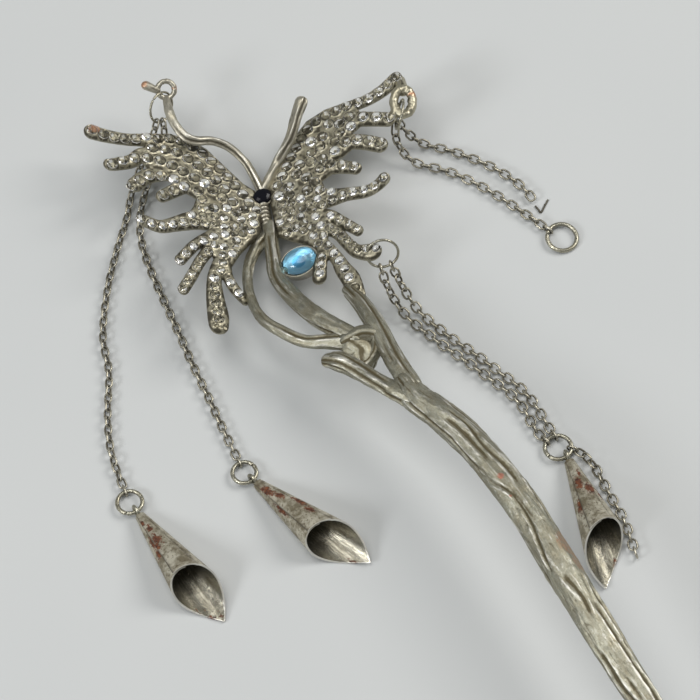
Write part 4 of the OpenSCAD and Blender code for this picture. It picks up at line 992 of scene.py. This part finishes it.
def rusted_sheet(name, seed):
    """Aged silver on steel sheet: whitish film, dark seam, brown rust where the rust attribute is high."""
    mat, tree, bsdf = nodes_of(name)
    inner = attribute(tree, "inner")
    fine = object_noise(tree, 1500.0, 5.0, 0.7)
    base = mix(tree, ramp(tree, object_noise(tree, 420.0 + seed, 6.0, 0.7), (0.4, 0), (0.58, 1)), FILM, BARE)
    specks = ramp(tree, object_noise(tree, 2100.0 + seed, 3.0, 0.7), (0.38, 0.85), (0.43, 0))
    base = mix(tree, specks, base, SPECKS)
    base = mix(tree, math_node(tree, "MULTIPLY", attribute(tree, "seam"), 0.85), base, SEAM_DARK)
    level = math_node(tree, "MULTIPLY_ADD", attribute(tree, "rust"), 0.33, -0.15)
    level = math_node(tree, "ADD", object_noise(tree, 1500.0 + 7 * seed, 5.0, 0.8), level)
    rust = ramp(tree, level, (0.48, 0), (0.54, 1))
    clean = math_node(tree, "SUBTRACT", 1.0, rust)
    drawn = ramp(tree, strand_noise(tree, 1.2, 0.7), (0.36, (0.12, 0.11, 0.08)), (0.64, (0.33, 0.315, 0.26)))
    base = mix(tree, math_node(tree, "MULTIPLY", inner, 0.85), base, drawn)
    base = mix(tree, rust, base, mix(tree, ramp(tree, fine, (0.4, 0), (0.62, 1)), RUST_DARK, RUST_LIGHT))
    # Painted highlight: a thin bright band along the edge of the mouth, where there is no rust.
    lip = ramp(tree, attribute(tree, "along"), (0.99, 0), (0.998, 0.8))
    base = mix(tree, math_node(tree, "MULTIPLY", lip, clean), base, LIP_HIGHLIGHT)
    tree.links.new(base, bsdf.inputs["Base Color"])
    metal = math_node(tree, "MULTIPLY", math_node(tree, "MULTIPLY_ADD", inner, 0.35, 0.5), clean)
    tree.links.new(metal, bsdf.inputs["Metallic"])
    rough = math_node(tree, "MULTIPLY_ADD", inner, -0.2, 0.45)
    rough = math_node(tree, "MAXIMUM", rough, math_node(tree, "MULTIPLY", rust, 0.8))
    tree.links.new(rough, bsdf.inputs["Roughness"])
    bump(tree, bsdf, math_node(tree, "ADD", fine, math_node(tree, "MULTIPLY", rust, 0.5)), 0.4, 0.0002)
    return mat


def cone_reach(a):
    """Length of the cone at an angle round it: longest on one side, so the mouth is slanted."""
    f = np.abs(((a + 540) % 360) - 180) / 180
    return CONE_L * (CONE_MOUTH + (1 - CONE_MOUTH) * f * f)


def both(outside, inside):
    return np.concatenate([outside.ravel(), inside.ravel()])


def cone_piece(name, x0, y0, heading, roll, seed, rust_rows):
    """Sheet rolled a little more than once round: radius grows along the cone and shrinks along the wrap.
    The cap on its tip is a short round bead, the loop a round wire."""
    na, nf = 150, 70
    aa, ff = np.meshgrid(np.linspace(0, WRAP, na + 1), np.linspace(0, 1, nf + 1), indexing="ij")
    x = 0.9 + cone_reach(aa + WRAP_START - roll) * ff
    q = np.radians(aa + WRAP_START)
    dent = 0.09 * (noise(x * 0.25, np.cos(q) * 1.6, np.sin(q) * 1.6, seed) - 0.5)
    off = aa - CREASE - CREASE_LEAN * ff
    crease = -0.09 * np.exp(-(off / 4) ** 2)
    r0 = CONE_NECK + CONE_SLOPE * x
    axis = r0 - WRAP_SHRINK * WRAP_DOWN / 360
    outside = r0 - WRAP_SHRINK * aa / 360 + (dent + crease) * smooth(0.03, 0.15, ff)
    verts = np.concatenate([np.stack([x, r * np.sin(q), axis + r * np.cos(q)], -1).reshape(-1, 3)
                            for r in (outside, outside - SHEET)])
    m, count, k = nf + 1, (na + 1) * (nf + 1), na * (nf + 1)
    outer = grid_faces(na + 1, m, False)
    i, j = np.arange(na) * m, np.arange(nf)
    edges = [(i, i + count, i + m + count, i + m), (i + nf, i + m + nf, i + m + nf + count, i + nf + count),
             (j, j + 1, j + 1 + count, j + count), (k + j, k + j + count, k + j + 1 + count, k + j + 1)]
    faces = np.concatenate([outer, outer[:, ::-1] + count, *(np.stack(e, 1)[:, ::-1] for e in edges)])
    rust = np.zeros_like(x)
    for share, angle, reach, turn_reach in rust_rows:
        spot = np.exp(-(((ff - share) / reach) ** 2) - ((aa - angle) / turn_reach) ** 2)
        rust = np.maximum(rust, spot)
    seam = np.exp(-(aa / 4) ** 2) + 0.6 * np.exp(-(off / 2.5) ** 2) + 0.8 * np.exp(-((aa - WRAP) / 5) ** 2)
    sheet = make(f"{name}_sheet", turned(verts, (0, 0, heading)) + [x0, y0, 0] + SEAT, faces,
                 rusted_sheet(f"{name}_metal", seed), True, {
                     "along": both(ff, ff), "seam": both(np.clip(seam, 0, 1), 0 * seam),
                     "rust": both(rust, rust * 0.6), "inner": both(0 * ff, np.ones_like(ff)),
                     "strand": np.tile(strand_at(8, q, x), (2, 1))})
    sheet.data.set_sharp_from_angle(angle=np.radians(40))
    cap_rows = np.array([(1.3, 0, 0.75, 1.2, 1.2), (1.9, 0, 0.85, 1.5, 1.5), (3.4, 0, 1.05, 1.25, 1.25)])
    cap_rows[:, :3] = turned(cap_rows[:, :3], (0, 0, heading)) + [x0, y0, 0]
    cap = bark_piece(f"{name}_cap", 24, 0, cap_rows, 0.2, 0.2, ring_metal)
    loop = ring_piece(f"{name}_loop", (x0, y0, 1.32), (90, 0, heading), 0.98, 0.33, ring_metal, wobble=0.1,
                      n=48, m=14)
    for piece in (sheet, cap, loop):
        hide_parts(name)


for name, row in CONES.items():
    cone_piece(name, *row)


# Floor, light and camera

FLOOR_HALF = 3
# Lights. Columns: direction, distance, size, power, color.
LIGHTS = {
    "window": ((0.98, -0.18, 1.0), 0.9, 0.5, 4.1, (1.0, 0.98, 0.95)),
    "ceiling": ((-0.2, 0.14, 1.0), 1.3, 0.9, 6.6, (1.0, 0.99, 0.97)),
    "fill": ((-1.0, 0.0, 0.66), 1.0, 0.3, 3.4, (0.97, 0.98, 1.0))}
ROOM_COLOR, ROOM_STRENGTH = (0.8, 0.84, 0.86, 1), 0.26
TARGET = Vector((np.array([-3.528, -33.597, 0.0]) + SEAT) * MM)
CAMERA_BACK, LENS, SENSOR = Vector((-168.0, -242.6, 579.2)) * MM, 183.86, 36.0


def placed(name, data, location, direction):
    """An object in the scene that looks back along a direction."""
    obj = bpy.data.objects.new(name, data)
    bpy.context.scene.collection.objects.link(obj)
    obj.location = location
    obj.rotation_mode = "QUATERNION"
    obj.rotation_quaternion = direction.to_track_quat("Z", "Y")
    return obj


floor_mesh = bpy.data.meshes.new("floor")
corners = [(x * FLOOR_HALF, y * FLOOR_HALF, 0) for x, y in ((-1, -1), (1, -1), (1, 1), (-1, 1))]
floor_mesh.from_pydata(corners, [], [(0, 1, 2, 3)])
floor = bpy.data.objects.new("floor", floor_mesh)
bpy.context.scene.collection.objects.link(floor)
floor_mat, floor_tree, floor_bsdf = nodes_of("table_top", Roughness=0.8)
shade = ramp(floor_tree, object_noise(floor_tree, 9.0, 2.0), (0.3, (0.555, 0.57, 0.568)),
             (0.7, (0.58, 0.592, 0.588)))
floor_tree.links.new(shade, floor_bsdf.inputs["Base Color"])
floor_mesh.materials.append(floor_mat)

for name, (direction, distance, size, power, color) in LIGHTS.items():
    data = bpy.data.lights.new(name, "AREA")
    data.shape = "DISK"
    data.size = size
    data.energy = power
    data.color = color
    direction = Vector(direction)
    placed(name, data, TARGET + direction.normalized() * distance, direction)
world = bpy.data.worlds.new("room")
bpy.context.scene.world = world
world.use_nodes = True
room = world.node_tree.nodes["Background"]
room.inputs["Color"].default_value = ROOM_COLOR
room.inputs["Strength"].default_value = ROOM_STRENGTH

camera_data = bpy.data.cameras.new("camera")
camera_data.lens, camera_data.sensor_width = LENS, SENSOR
camera_data.clip_start, camera_data.clip_end = 0.05, 20
camera_data.dof.use_dof = False
bpy.context.scene.camera = placed("camera", camera_data, TARGET + CAMERA_BACK, CAMERA_BACK)
bpy.context.scene.view_settings.view_transform = "Standard"
